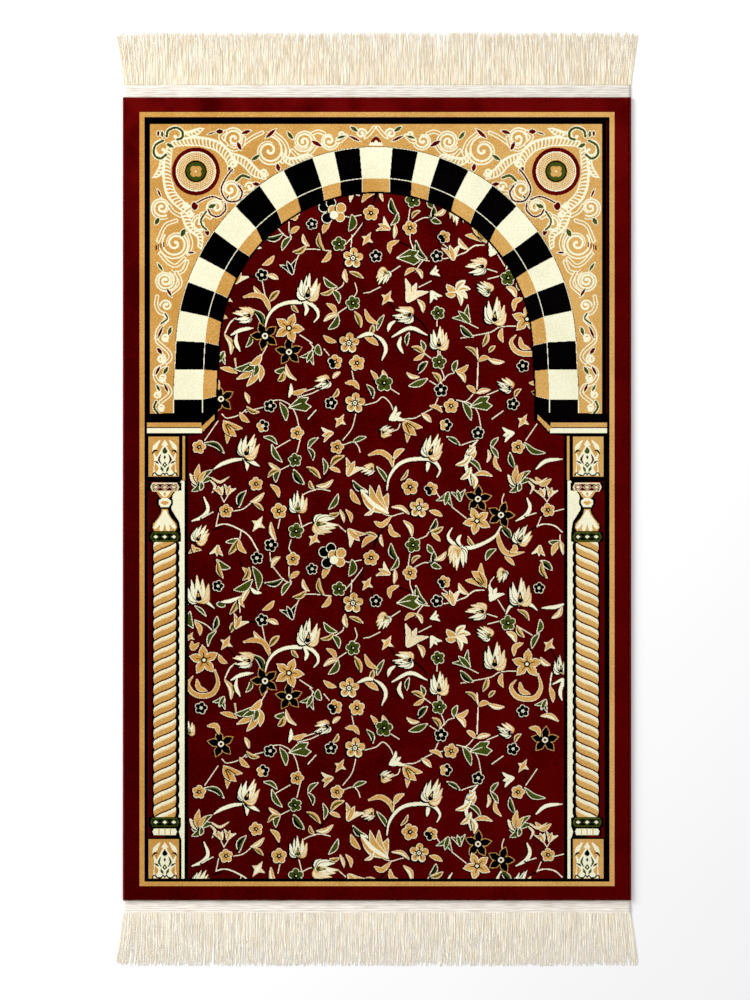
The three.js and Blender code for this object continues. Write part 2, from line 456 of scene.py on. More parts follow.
BLACK_STEMS = (
    (149 + 311j, 149 + 303j), (-100 + 258j, -102 + 250j, -99 + 240j),
    (13 + 220j, 5 + 209j, -1 + 201j, -3 + 193j), (1 + 206j, -2 + 195j, -6 + 189j),
    (-13 + 173j, -16 + 165j, -14 + 160j), (-8 + 152j, -3 + 144j), (22 + 153j, 34 + 148j),
    (32 + 94j, 31 + 86j), (37 + 79j, 46 + 71j, 50 + 64j), (-132 + 119j, -120 + 118j),
    (153 + 210j, 161 + 214j), (-164 + 210j, -155 + 213j), (-150 + 92j, -140 + 82j),
    (173 + 92j, 180 + 80j), (10 + 97j, 18 + 84j), (-44 + 288j, -43 + 274j, -53 + 262j, -63 + 252j),
    (-137 + 179j, -134 + 173j, -125 + 171j), (-101 + 258j, -104 + 252j, -98 + 244j, -98 + 236j),
)
LONG_STEMS = (
    (-161 + 214j, -152 + 216j, -140 + 212j, -128 + 204j, -119 + 189j),
    (160 + 214j, 168 + 216j, 178 + 214j, 185 + 208j), (107 + 150j, 97 + 149j, 89 + 143j, 84 + 141j),
    (-152 + 62j, -147 + 72j, -141 + 77j), (173 + 53j, 175 + 67j, 182 + 74j),
    (100 + 47j, 101 + 32j, 100 + 6j),
)
BRANCHES = (
    (-163 + 271j, -155 + 276j, -143 + 280j, -131 + 281j), (-133 + 281j, -130 + 277j, -130 + 270j),
    (-131 + 281j, -125 + 278j, -118 + 274j), (51 + 280j, 51 + 275j, 50 + 269j),
    (159 + 271j, 169 + 279j, 185 + 281j),
    (10 + 250j, 12 + 262j, 19 + 273j, 28 + 279j, 39 + 281j, 51 + 281j, 59 + 277j, 63 + 270j, 60 + 263j),
    (124 + 214j, 118 + 204j, 105 + 196j, 90 + 192j, 76 + 197j, 71 + 204j, 75 + 212j),
    (84 + 194j, 81 + 200j, 84 + 205j),
    (-112 + 67j, -109 + 78j, -102 + 87j, -91 + 92j, -78 + 93j, -68 + 92j, -60 + 85j, -59 + 78j, -63 + 73j),
    (-73 + 92j, -70 + 86j, -72 + 80j), (-189 + 136j, -182 + 139j, -172 + 139j, -163 + 132j),
    (129 + 126j, 134 + 134j, 145 + 136j, 154 + 135j, 160 + 130j),
    (-173 + 243j, -169 + 231j, -175 + 223j, -185 + 219j),
    (150 + 242j, 153 + 233j, 149 + 225j, 139 + 219j), (-175 + 222j, -164 + 228j),
    (149 + 224j, 159 + 227j), (-69 + 321j, -61 + 330j), (115 + 321j, 126 + 329j),
    (-146 + 60j, -136 + 65j, -124 + 67j), (-140 + 61j, -141 + 53j, -137 + 44j),
    (15 + 58j, 33 + 67j, 50 + 60j), (24 + 58j, 22 + 50j, 26 + 42j), (18 + 74j, 13 + 70j, 11 + 64j),
    (176 + 56j, 186 + 60j, 183 + 48j, 185 + 40j), (-20 + 57j, -10 + 61j, -2 + 60j),
    (-2 + 60j, 5 + 55j, 9 + 46j, 5 + 35j), (-16 + 250j, -5 + 246j, 3 + 235j, 11 + 227j),
    (-126 + 152j, -122 + 148j, -116 + 147j), (-137 + 143j, -147 + 139j, -156 + 138j),
    (-138 + 140j, -137 + 128j), (187 + 136j, 178 + 133j, 165 + 132j), (-86 + 11j, -86 + 4j, -88 - 2j),
    (100 + 299j, 91 + 288j, 89 + 275j, 94 + 255j),
)
GOLD_HOOKS = (
    (-8 + 285j, 3 + 288j, 13 + 282j, 16 + 272j),
    (-133 + 98j, -124 + 100j, -114 + 98j, -109 + 90j, -107 + 83j),
    (121 + 208j, 122 + 199j, 127 + 189j, 135 + 186j, 147 + 188j), (134 + 188j, 138 + 191j, 137 + 195j),
    (-162 + 70j, -159 + 57j, -164 + 47j, -174 + 44j, -184 + 47j, -189 + 56j, -184 + 64j),
    (-180 + 60j, -178 + 52j, -170 + 49j),
    (161 + 66j, 164 + 53j, 159 + 43j, 149 + 41j, 139 + 44j, 134 + 53j, 139 + 60j),
    (143 + 57j, 145 + 49j, 153 + 46j), (13 + 215j, 15 + 207j, 23 + 204j),
    (-2 + 218j, 5 + 215j, 14 + 223j), (21 + 154j, 13 + 150j, 13 + 142j),
    (-31 + 12j, -23 + 12j, -18 + 6j), (-169 + 14j, -161 + 14j, -158 + 6j),
    (153 + 12j, 160 + 11j, 163 + 4j), (159 + 262j, 166 + 256j, 174 + 261j), (153 + 256j, 159 + 248j),
    (137 + 85j, 138 + 93j, 146 + 97j), (-185 + 98j, -184 + 92j, -178 + 97j), (-142 + 36j, -141 + 28j),
)
GREEN_LEAVES = (
    (-172 + 297j, -153 + 287j, 5), (-91 + 320j, -97 + 337j, 6), (86 + 338j, 94 + 320j, 6),
    (39 + 154j, 50 + 136j, 5), (-113 + 303j, -100 + 296j, 4), (-105 + 295j, -95 + 278j, 5),
    (70 + 303j, 83 + 295j, 4), (-53 + 117j, -40 + 108j, 5), (-45 + 105j, -38 + 92j, 5),
    (-83 + 270j, -73 + 256j, 7), (-24 + 298j, -11 + 303j, 4), (148 + 297j, 168 + 287j, 5),
    (-138 + 233j, -131 + 249j, 6), (-48 + 231j, -39 + 246j, 5), (0 + 273j, 11 + 256j, 4),
    (-114 + 68j, -123 + 85j, 6), (163 + 120j, 160 + 107j, 5), (162 + 106j, 155 + 92j, 5),
    (-160 + 123j, -163 + 110j, 5), (-161 + 109j, -169 + 94j, 4), (109 + 180j, 119 + 191j, 5),
    (84 + 69j, 96 + 58j, 6), (-139 + 201j, -151 + 198j, 4), (-160 + 180j, -147 + 172j, 6),
    (-94 + 161j, -112 + 157j, 5), (-86 + 158j, -95 + 145j, 5), (-182 + 134j, -171 + 124j, 3),
    (53 + 210j, 59 + 221j, 5), (-25 + 180j, -28 + 164j, 7), (53 + 179j, 64 + 172j, 5),
    (125 + 213j, 134 + 202j, 6), (-48 + 66j, -39 + 80j, 6), (44 + 54j, 46 + 43j, 4),
    (50 + 33j, 42 + 22j, 6), (50 + 16j, 32 + 9j, 6), (-59 + 50j, -56 + 40j, 6), (-10 + 10j, -4 - 3j, 4),
    (80 + 34j, 77 + 23j, 5), (0 + 65j, 7 + 80j, 4), (-24 + 259j, -10 + 249j, 5),
    (-92 + 27j, -102 + 24j, 5), (172 + 198j, 182 + 199j, 4), (164 + 179j, 175 + 170j, 6),
    (-187 + 128j, -184 + 112j, 6), (-126 + 60j, -131 + 48j, 4), (32 + 62j, 30 + 50j, 4),
    (-160 + 136j, -152 + 134j, 5), (-59 + 302j, -69 + 291j, 4), (-69 + 292j, -64 + 280j, 4),
    (121 + 302j, 114 + 292j, 4), (114 + 293j, 121 + 282j, 4), (14 + 196j, 21 + 180j, 6),
    (21 + 182j, 14 + 170j, 4), (51 + 195j, 57 + 187j, 5), (57 + 188j, 55 + 176j, 5),
    (-97 + 270j, -101 + 258j, 5), (-54 + 281j, -53 + 266j, 4), (133 + 287j, 138 + 272j, 5),
)
GOLD_LEAVES = (
    (-46 + 274j, -33 + 284j, 6), (-137 + 327j, -128 + 318j, 5), (45 + 326j, 54 + 318j, 5),
    (-130 + 333j, -118 + 328j, 4), (53 + 334j, 65 + 328j, 4), (-106 + 217j, -101 + 200j, 5),
    (-139 + 200j, -148 + 186j, 6), (-138 + 200j, -131 + 187j, 5), (-105 + 173j, -97 + 183j, 5),
    (-159 + 178j, -154 + 162j, 5), (-86 + 162j, -78 + 168j, 5), (-74 + 160j, -68 + 149j, 4),
    (-71 + 149j, -84 + 143j, 5), (-114 + 130j, -103 + 139j, 5), (-109 + 120j, -99 + 116j, 5),
    (-138 + 118j, -146 + 108j, 6), (-31 + 230j, -26 + 218j, 4), (4 + 205j, 6 + 194j, 3),
    (-11 + 207j, 0 + 204j, 3), (-1 + 203j, -15 + 193j, 6), (27 + 219j, 35 + 204j, 5),
    (54 + 208j, 66 + 213j, 5), (55 + 206j, 63 + 199j, 4), (58 + 180j, 69 + 188j, 5),
    (35 + 177j, 43 + 184j, 4), (-47 + 173j, -54 + 162j, 6), (18 + 170j, 17 + 157j, 4),
    (-58 + 161j, -53 + 145j, 5), (-47 + 144j, -55 + 133j, 5), (-32 + 125j, -30 + 113j, 5),
    (-27 + 123j, -14 + 117j, 4), (39 + 126j, 28 + 120j, 4), (39 + 126j, 45 + 117j, 4),
    (91 + 203j, 98 + 193j, 4), (128 + 183j, 137 + 175j, 4), (82 + 156j, 91 + 146j, 5),
    (141 + 130j, 152 + 120j, 4), (183 + 198j, 175 + 185j, 6), (183 + 199j, 186 + 186j, 4),
    (165 + 178j, 170 + 162j, 5), (-182 + 118j, -177 + 105j, 5), (-123 + 108j, -115 + 100j, 4),
    (-107 + 94j, -98 + 104j, 6), (-158 + 85j, -150 + 77j, 5), (-152 + 60j, -146 + 41j, 5),
    (-85 + 91j, -79 + 83j, 4), (-156 + 27j, -140 + 22j, 5), (-91 + 30j, -81 + 15j, 4),
    (-93 + 23j, -99 + 14j, 6), (-86 + 2j, -71 + 6j, 5), (-132 + 2j, -128 - 8j, 4),
    (-56 + 101j, -43 + 107j, 4), (-50 + 91j, -41 + 81j, 5), (-39 + 81j, -53 + 74j, 5),
    (-22 + 83j, -16 + 68j, 6), (-12 + 85j, 1 + 71j, 5), (41 + 95j, 46 + 83j, 5), (47 + 42j, 35 + 48j, 5),
    (47 + 41j, 37 + 35j, 4), (30 + 22j, 42 + 18j, 4), (56 + 22j, 63 + 12j, 5), (-53 + 59j, -41 + 53j, 5),
    (-44 + 17j, -37 + 23j, 4), (-44 - 2j, -39 + 6j, 4), (-6 + 24j, -1 + 12j, 4), (6 + 24j, 11 + 15j, 5),
    (111 + 62j, 106 + 49j, 5), (125 + 66j, 126 + 53j, 5), (130 + 108j, 139 + 98j, 6),
    (140 + 114j, 147 + 103j, 5), (173 + 53j, 176 + 38j, 5), (181 + 19j, 164 + 24j, 5),
    (138 - 2j, 144 + 6j, 4), (98 + 2j, 90 + 9j, 5), (100 + 2j, 113 + 5j, 5), (100 + 38j, 89 + 48j, 4),
    (102 + 34j, 112 + 37j, 5), (112 + 36j, 127 + 33j, 5), (112 + 43j, 118 + 49j, 4),
    (79 + 24j, 91 + 30j, 5), (80 + 23j, 88 + 13j, 5), (-7 + 61j, -4 + 70j, 5), (-12 + 58j, 1 + 50j, 6),
    (164 + 82j, 173 + 75j, 5), (-188 + 187j, -176 + 190j, 4), (-183 + 188j, -185 + 195j, 3),
    (-37 + 230j, -33 + 218j, 3), (-47 + 226j, -38 + 227j, 4), (-134 + 172j, -128 + 160j, 5),
    (-127 + 152j, -134 + 139j, 5), (-139 + 140j, -147 + 126j, 5), (-136 + 144j, -133 + 133j, 3),
    (185 + 133j, 175 + 122j, 5), (-57 + 262j, -70 + 273j, 5), (-47 + 272j, -37 + 268j, 4),
    (-60 + 254j, -44 + 260j, 5), (-63 + 251j, -67 + 259j, 4), (-26 + 250j, -17 + 236j, 6),
    (-97 + 270j, -108 + 277j, 4), (-97 + 270j, -109 + 263j, 4), (-106 + 255j, -98 + 243j, 5),
    (-126 + 238j, -113 + 247j, 5), (-123 + 237j, -114 + 230j, 4), (118 + 284j, 124 + 269j, 4),
    (111 + 290j, 110 + 278j, 3), (24 + 260j, 31 + 270j, 3), (53 + 229j, 65 + 224j, 5),
    (32 + 226j, 15 + 233j, 4), (-128 + 172j, -134 + 160j, 5),
)
ROSETTES = (
    (-107 + 334j, 12, BLACK, None), (-114 + 314j, 12, BLACK, GOLD), (-80 + 307j, 13, GOLD, None),
    (-178 + 293j, 13, GOLD, None), (-82 + 280j, 13, GREEN, None), (-121 + 256j, 13, GOLD, None),
    (-151 + 229j, 13, GOLD, None), (-98 + 229j, 15, GOLD, None), (-46 + 337j, 12, BLACK, None),
    (-40 + 293j, 13, GOLD, None), (33 + 253j, 16, GOLD, None), (54 + 251j, 13, GOLD, BLACK),
    (74 + 334j, 14, GOLD, None), (101 + 307j, 12, BLACK, None), (69 + 315j, 12, BLACK, GOLD),
    (136 + 336j, 12, BLACK, None), (141 + 293j, 13, GOLD, None), (171 + 230j, 13, GOLD, None),
    (-120 + 182j, 12, BLACK, None), (-106 + 195j, 13, BLACK, None), (-81 + 209j, 15, GREEN, None),
    (-84 + 181j, 13, GOLD, None), (-6 + 182j, 15, GOLD, None), (-65 + 171j, 11, BLACK, None),
    (36 + 195j, 15, GREEN, None), (33 + 167j, 14, GOLD, None), (-159 + 154j, 11, BLACK, None),
    (162 + 152j, 11, BLACK, None), (-115 + 120j, 12, BLACK, None), (-38 + 151j, 14, GREEN, None),
    (-24 + 92j, 14, GREEN, None), (-1 + 139j, 12, BLACK, None), (-42 + 33j, 14, GOLD, BLACK),
    (-20 + 32j, 15, GOLD, None), (-176 + 32j, 12, BLACK, None), (67 + 158j, 12, GOLD, BLACK),
    (60 + 139j, 12, BLACK, None), (131 + 117j, 15, GREEN, None), (61 + 82j, 13, GREEN, None),
    (62 + 33j, 14, GREEN, None), (64 + 5j, 13, BLACK, None), (7 + 12j, 17, GREEN, None),
    (146 + 29j, 12, BLACK, None),
)
GOLD_ROSETTES = ((-22 + 337j, 21), (42 + 232j, 20), (-24 + 137j, 21), (-28 + 52j, 21))
STARS = (
    (-156 + 341j, 24, BLACK, 100), (101 + 241j, 24, BLACK, 85), (124 + 225j, 24, BLACK, 75),
    (-112 + 59j, 25, BLACK, 110), (-88 + 43j, 24, BLACK, 95), (168 + 345j, 24, BLACK, 90),
    (100 + 219j, 24, GOLD, 115), (-173 + 80j, 26, GOLD, 95), (-88 + 67j, 26, GOLD, 70),
    (150 + 76j, 26, GOLD, 88),
)
PALMETTES = (
    (-128 + 294j, 24, 70, BLACK), (56 + 294j, 24, 70, BLACK), (-179 + 150j, 27, 95, BLACK),
    (-68 + 108j, 26, 80, BLACK), (143 + 148j, 26, 92, BLACK), (118 + 84j, 26, 88, BLACK),
    (-79 + 238j, 21, 90, GREEN), (62 + 57j, 22, 90, BLACK), (-51 + 216j, 24, 0, GREEN),
    (81 + 182j, 23, -92, GOLD), (-176 + 206j, 19, 60, BLACK), (146 + 205j, 20, 60, BLACK),
    (-134 + 80j, 19, 175, BLACK), (26 + 80j, 20, 178, BLACK), (99 + 128j, 20, 185, BLACK),
    (184 + 75j, 18, 90, BLACK), (-9 + 270j, 13, 200, GREEN), (10 + 309j, 13, 20, BLACK),
    (125 + 164j, 13, 250, GREEN), (107 + 107j, 16, 150, GREEN), (-55 + 12j, 16, 200, BLACK),
    (128 + 10j, 16, 150, BLACK), (6 + 118j, 16, 240, GREEN), (-188 + 12j, 14, 90, GREEN),
)
TULIPS = (
    (-25 + 272j, 17, 60, GOLD), (19 + 324j, 14, 30, CREAM), (117 + 146j, 15, 60, CREAM),
    (-23 + 204j, 17, -50, GOLD), (36 + 103j, 22, 60, STRAW), (82 + 245j, 12, 100, GREEN),
    (87 + 79j, 17, 130, GREEN), (-68 + 38j, 13, 240, GREEN), (-156 + 38j, 12, 240, GREEN),
    (166 + 35j, 12, 240, GREEN), (-160 + 189j, 11, 260, GOLD), (162 + 189j, 11, 260, GOLD),
    (58 + 123j, 9, 20, CREAM), (57 + 99j, 11, 300, CREAM), (-87 + 128j, 15, 110, BLACK),
    (75 + 143j, 16, 100, GOLD), (-157 + 250j, 10, 110, GOLD), (-148 + 250j, 10, 70, GOLD),
    (165 + 248j, 10, 110, GOLD), (174 + 248j, 10, 70, GOLD), (-138 + 118j, 14, 60, GOLD),
    (7 + 169j, 13, 150, GOLD), (-50 + 306j, 12, 190, GOLD), (131 + 306j, 12, 190, CREAM),
    (69 + 241j, 14, 250, GREEN),
)
STAR_BUDS = (
    (-37 + 319j, 13, GOLD), (146 + 319j, 13, GOLD), (-119 + 216j, 15, CREAM), (-63 + 201j, 13, GOLD),
    (-151 + 97j, 14, GOLD), (-10 + 156j, 13, GOLD), (10 + 97j, 14, GOLD), (172 + 95j, 13, GOLD),
    (-187 + 103j, 9, GOLD),
)
HEART_LEAVES = ((-78 + 336j, 21, 200), (103 + 337j, 21, 200), (31 + 139j, 22, 190))
BELLS = ((-153 + 319j, 22, 10), (27 + 320j, 22, 10), (109 + 153j, 24, 194))
SHEAVES = (-176 + 257j, 142 + 256j)
PETALS = (
    (17 + 281j, 27 + 291j, 5, GOLD), (10 + 231j, 11 + 246j, 6, GOLD), (10 + 230j, 2 + 254j, 6, GOLD),
    (10 + 229j, -7 + 254j, 7, GOLD), (11 + 227j, -16 + 250j, 8, CREAM),
    (-3 + 232j, -12 + 225j, 3, CREAM), (-124 + 173j, -119 + 150j, 7, GREEN),
    (-125 + 160j, -143 + 150j, 7, GREEN), (-121 + 34j, -142 + 26j, 7, GREEN),
    (-122 + 33j, -140 + 16j, 6, GOLD), (-120 + 32j, -117 + 14j, 6, GOLD),
    (-121 + 32j, -130 + 9j, 7, GOLD), (-122 + 33j, -134 + 24j, 5, GREEN),
    (-121 + 32j, -123 + 19j, 5, GREEN), (-116 + 40j, -127 + 30j, 6, GOLD),
    (80 + 104j, 88 + 114j, 6, CREAM), (80 + 104j, 93 + 106j, 5, CREAM), (80 + 103j, 90 + 97j, 5, STRAW),
    (79 + 104j, 70 + 110j, 6, GOLD), (79 + 102j, 69 + 101j, 5, GOLD), (80 + 102j, 84 + 90j, 4, CREAM),
    (93 + 294j, 96 + 281j, 5, GOLD), (90 + 281j, 104 + 268j, 4, GREEN), (97 + 265j, 115 + 264j, 4, GOLD),
    (94 + 284j, 79 + 275j, 5, CREAM), (94 + 272j, 84 + 261j, 5, CREAM), (95 + 266j, 97 + 252j, 5, CREAM),
    (98 + 293j, 90 + 286j, 4, CREAM),
)
BERRIES = (
    (-53 + 188j, 5, BLACK), (-46 + 192j, 4.6, BLACK), (-50 + 177j, 5, BLACK), (-44 + 185j, 4.4, GOLD),
    (-36 + 187j, 4.6, GOLD), (-37 + 178j, 4.4, GOLD), (-43 + 180j, 3.6, CREAM),
)


for foot in REPEAT_FEET:
    up = 1j * foot
    for route in THIN_STEMS:
        stem(*(np.array(route) + up))
    for route in BLACK_STEMS:
        stem(*(np.array(route) + up), yarn=BLACK, width=BLACK_STEM_WIDTH)
    for route in LONG_STEMS:
        stem(*(np.array(route) + up), width=LONG_STEM_WIDTH)
    for number, (base, tip, width) in enumerate(GREEN_LEAVES):
        shade = (BLACK, None, None)[number % 3]
        leaf(base + up, tip + up, width, GREEN, bend=BENDS[number % 4], shade=shade)
    for number, (base, tip, width) in enumerate(GOLD_LEAVES):
        shade = (GREEN, None, CREAM)[number % 3]
        leaf(base + up, tip + up, 0.9 * width, GOLD, STRAW, BENDS[number % 4], shade=shade)
    for route in GOLD_HOOKS:
        gold_hook(*(np.array(route) + up))
    for route in BRANCHES:
        branch(*(np.array(route) + up))
    for base, tip, width, yarn in PETALS:
        leaf(base + up, tip + up, width, yarn, shade=GOLD if yarn == CREAM else None)
    for at in SHEAVES:
        sheaf(at + up)
    for at, size, turned in HEART_LEAVES:
        heart_leaf(at + up, size, turned)
    for at, size, turned in BELLS:
        bell(at + up, size, turned)
    for at, radius, yarn in BERRIES:
        berry(at + up, radius, yarn)
    for at, size, turned, heart in PALMETTES:
        palmette(at + up, size, turned, heart)
    for at, size, turned, cup in TULIPS:
        tulip(at + up, size, turned, cup)
    for at, size, yarn in STAR_BUDS:
        star_bud(at + up, size, yarn)
    for at, size, yarn, other in ROSETTES:
        rosette(at + up, size, yarn, other)
    for at, size in GOLD_ROSETTES:
        gold_rosette(at + up, size)
    for at, size, yarn, turned in STARS:
        star(at + up, size, yarn, GOLD if yarn == BLACK else CREAM, turned)

# The niche frame is knotted in halves that mirror each other about the middle of the rug.
# Its places are counted in knots inward and down from the upper corner of the spandrel.
# Gold, black and cream lines frame the field and carry the arch on two imposts.
MIDDLE = -1
CORNER_ACROSS = 225.8
CORNER_UP = 777
ARCH_RISE = 548.6


def halves(*points):
    """Points counted inward and down from the upper corner, placed in the right and the left half."""
    right = complex(CORNER_ACROSS, CORNER_UP) - np.array(points)
    return right + MIDDLE, MIDDLE - np.conj(right)


def lay(width, yarn, *points, smooth=True):
    for side in halves(*points):
        line(curve(*side) if smooth else side, width, yarn)


def block(yarn, *points):
    for side in halves(*points):
        fill(side, yarn)


def bar(yarn, left, right, top, foot):
    """A rectangle in both halves, from its two edges across and its two edges down."""
    block(yarn, left + 1j * top, right + 1j * top, right + 1j * foot, left + 1j * foot)


# The arch: voussoirs of black and cream by turns, with a gold or black soffit under each.
# Its joints are given in degrees from the crown, with the lean of the soffit's own joint.
ARCH_OUTER = 200.2
ARCH_EDGE = 171.3
ARCH_INNER = 157.8
ARCH_JOINTS = (
    (0, 0), (4.6, 0), (11.8, 2), (18.1, 10), (27, 15), (35, 21), (44, 25), (53.3, 57), (61.7, 56),
    (69.6, 65), (78.1, 67), (86.8, 77),
)
ARCH_DROPS = ((17.6, 85), (47.6, 103), (69, 134))
# The outer curve rises at the crown, and every curve spreads a little below the springing
CROWN_RISE = 4.8
EDGE_RISE = 2.7
FOOT_SPREAD = 2.3
# Below the springing: where the arch has spread fully, and where the gold ground and the arch end
SPREAD_DROP = 38
GROUND_DROP = 63.4
FOOT_DROP = ARCH_DROPS[-1][0]
DEGREES_PER_STEP = 3


def arch_point(radius, degrees, drop=0):
    """A point on the right half of the arch, in knots: an angle from the crown, or a drop below 90."""
    rise = (CROWN_RISE if radius > ARCH_EDGE + 1 else EDGE_RISE) * np.cos(np.radians(degrees)) ** 2
    spread = FOOT_SPREAD * min(drop / SPREAD_DROP, 1)
    return MIDDLE + spread + 1j * (ARCH_RISE - drop) + turn(90 - degrees, radius + rise)


def soffit_point(degrees, drop, lean):
    """Where the soffit's joint meets the inner edge: it leans more upright than the voussoir's."""
    depth = (ARCH_EDGE - ARCH_INNER) / np.cos(np.radians(lean - degrees))
    return arch_point(ARCH_EDGE, degrees, drop) - turn(90 - lean, depth)


def both_sides(points):
    points = np.array(points)
    return points, 2 * MIDDLE - np.conj(points)


# The spandrels: gold ground with cream scrolls, drawn as double lines that end in volutes.
# A roundel fills each upper corner, and feathered cream leaves curl round it.
# Wine and green drops, each in a cream rim, fill the spaces between the scrolls.
SPANDREL_FOOT = 292.2
ROUNDEL = 45.7 + 47.8j
ROUNDEL_RINGS = ((25.4, GOLD), (24, WINE), (20, CREAM), (18.8, GOLD), (10.9, BLACK), (9.4, GREEN))
# How many beads each ring of beads has, from the inner ring outwards
ROUNDEL_BEADS = (40, 46, 52, 58)
FIRST_BEAD_RING = 12.2
BEAD_RINGS_APART = 1.8
BEAD = 0.55
SCROLL_WIDTH = 4.2
SCROLL_HEART_WIDTH = 1.9
VOLUTE_WIDTHS = np.array((0.8, 1, 1.2)) * 2.1
VOLUTE_STEPS = 40
OUTER_TURN_STEPS = 26
VOLUTE_EYE = 1.4
VOLUTE_BEAD = 1.7
LARGE_VOLUTE = 7
BARB_SPACING = 3.7


def scroll(*points):
    """A cream band with a gold line in it."""
    lay(SCROLL_WIDTH, CREAM, *points)
    lay(SCROLL_HEART_WIDTH, GOLD, *points)


def volute(centre, radius, start, turns):
    """A band that winds in on itself to a bead; a large one has a second line round its outer turn."""
    t = np.linspace(0, 1, VOLUTE_STEPS)
    route = centre + turn(start + 360 * turns * t, radius + t * (VOLUTE_EYE - radius))
    outer = centre + 1.26 * (route - centre) + 0.8 * (route - centre) / abs(route - centre)
    for side in halves(*route):
        line(side, VOLUTE_WIDTHS, CREAM)
        disc(side[-1], VOLUTE_BEAD, CREAM)
    if radius > LARGE_VOLUTE:
        for side in halves(*outer[:OUTER_TURN_STEPS]):
            line(side, (0.8, 1.5, 1.5, 0.8), CREAM)


def feather(width, *points, outside=1):
    """A curling leaf: a thick smooth vein along its outside, and slanting cream barbs with gold between."""
    width = np.array(width)
    for side, hand in zip(halves(*points), (outside, -outside)):
        route = curve(*side)
        steps = np.append(0, np.cumsum(abs(np.diff(route))))
        along = np.arange(0, steps[-1], BARB_SPACING)
        at = np.interp(along, steps, route.real) + 1j * np.interp(along, steps, route.imag)
        ahead = np.gradient(at)
        ahead = ahead / abs(ahead)
        across = np.interp(along, np.linspace(0, steps[-1], len(width)), width) * hand * 1j * ahead
        line(at - 0.5 * across, (1.4, 2.6, 2.6, 1.4), CREAM)
        line(at + 0.36 * across + 2 * ahead, (1, 1.5, 1.5, 1), CREAM)
        for spot, forward, reach in zip(at, ahead, across):
            barb = [spot - 0.5 * reach, spot + forward, spot + 0.4 * reach + 3 * forward]
            line(barb, (1.8, 1.5, 1.2), CREAM)


def drop(yarn, base, tip, width):
    for side in halves(base, tip):
        leaf(side[0], side[1], width, yarn, bend=0, shadow=None)


crown = [arch_point(ARCH_OUTER, a) for a in range(0, 91, DEGREES_PER_STEP)]
crown += [arch_point(ARCH_OUTER, 90, drop) for drop in (SPREAD_DROP, GROUND_DROP)]
foot = [CORNER_ACROSS - 0.6 + 1j * (CORNER_UP - down) for down in (SPANDREL_FOOT, 0.6)]
edged = [foot[0] + 4.5 - 3.3j, foot[1] + 4.5 + 4.5j]
for side in both_sides([MIDDLE + 1j * edged[1].imag] + crown + edged):
    fill(side, BLACK)
for side in both_sides([MIDDLE + 1j * foot[1].imag] + crown + foot):
    fill(side, GOLD)

for centre, radius, start, turns in (
    (26 + 12j, 8.5, 190, 0.85), (12 + 27j, 8.5, -100, -0.85), (84 + 15j, 10, 120, 1.6),
    (119 + 27j, 14.5, -100, 1.7), (153.5 + 18j, 10.5, 150, -2), (179 + 17j, 8, -20, 1.4),
    (191 + 11j, 3.5, 90, -0.9), (211 + 10j, 6, 60, -1.3), (11.5 + 84j, 9, 60, 1.6),
    (66 + 84j, 8, 110, 1.2), (25 + 120j, 13.5, -140, -1.8), (15 + 157j, 9.5, -60, 2),
    (16 + 182j, 6, 180, 1.3), (80 + 66j, 10, 150, -1.5), (50 + 101j, 8, -60, -1.2),
    (83 + 40j, 4.5, -120, 1.2), (114 + 49j, 4.5, 20, 1.2), (36 + 82j, 3.5, 0, 1.2),
    (40 + 90j, 3.5, 0, 1.2), (15.5 + 214j, 4, 60, 1.2), (11 + 235j, 4.6, -60, 1.3),
    (13 + 254j, 4, 60, 1.2), (7 + 271j, 4, -90, 1.2), (11.5 + 284j, 3.4, 60, 1.2),
    (100 + 63j, 5, 180, 1),
):
    volute(centre, radius, start, turns)
for points in (
    (90 + 23j, 102 + 14j, 112 + 9j), (94 + 14j, 92 + 22j, 84 + 26j, 76 + 22j),
    (125 + 10j, 134 + 18j, 138 + 29j, 132 + 38j), (142 + 27j, 150 + 34j, 160 + 29j, 166 + 22j),
    (162 + 10j, 168 + 8j, 174 + 10j), (187 + 18j, 191 + 17j, 196 + 12j), (216 + 13j, 220 + 9j, 224 + 4j),
    (30 + 92j, 23 + 88j, 19 + 82j), (8 + 117j, 15 + 102j, 26 + 97j), (38 + 110j, 41 + 120j, 38 + 130j),
    (10 + 130j, 18 + 139j, 26 + 142j, 34 + 135j), (37 + 138j, 33 + 147j, 26 + 150j),
    (26 + 149j, 30 + 157j, 29 + 163j, 20 + 171j), (7 + 173j, 6 + 181j, 9 + 188j, 16 + 192j, 13 + 200j),
    (17 + 196j, 8 + 206j, 7 + 217j, 13 + 223j, 19 + 229j, 20 + 235j, 14 + 241j),
    (15 + 241j, 6 + 246j, 5 + 254j, 10 + 260j, 17 + 262j, 20 + 270j, 10 + 279j),
    (60 + 94j, 52 + 90j, 50 + 98j), (94 + 88j, 88 + 80j, 92 + 70j, 102 + 68j),
    (75 + 8j, 70 + 14j, 76 + 21j),
):
    scroll(*points)
feather((6, 10, 10, 9), 22 + 21j, 36 + 19j, 50 + 19j, 66 + 23j, 77 + 33j, 82 + 44j)
feather((6, 9, 9, 5), 80 + 32j, 94 + 39j, 104 + 49j, 116 + 54j)
feather((6, 9, 10, 9), 20 + 24j, 18 + 38j, 18 + 54j, 22 + 70j, 33 + 82j, 42 + 88j, outside=-1)
feather((7, 8, 6, 4), 34 + 88j, 40 + 102j, 50 + 112j, 50 + 124j, outside=-1)
feather((2, 6, 6, 2), 34 + 9j, 40 + 11j, 46 + 9j, 52 + 5j)
feather((2, 6, 6, 2), 10 + 36j, 11 + 42j, 9 + 48j, 4 + 54j)
feather((3, 7, 7, 3), 131 + 30j, 138 + 38j, 150 + 37j, 162 + 31j)

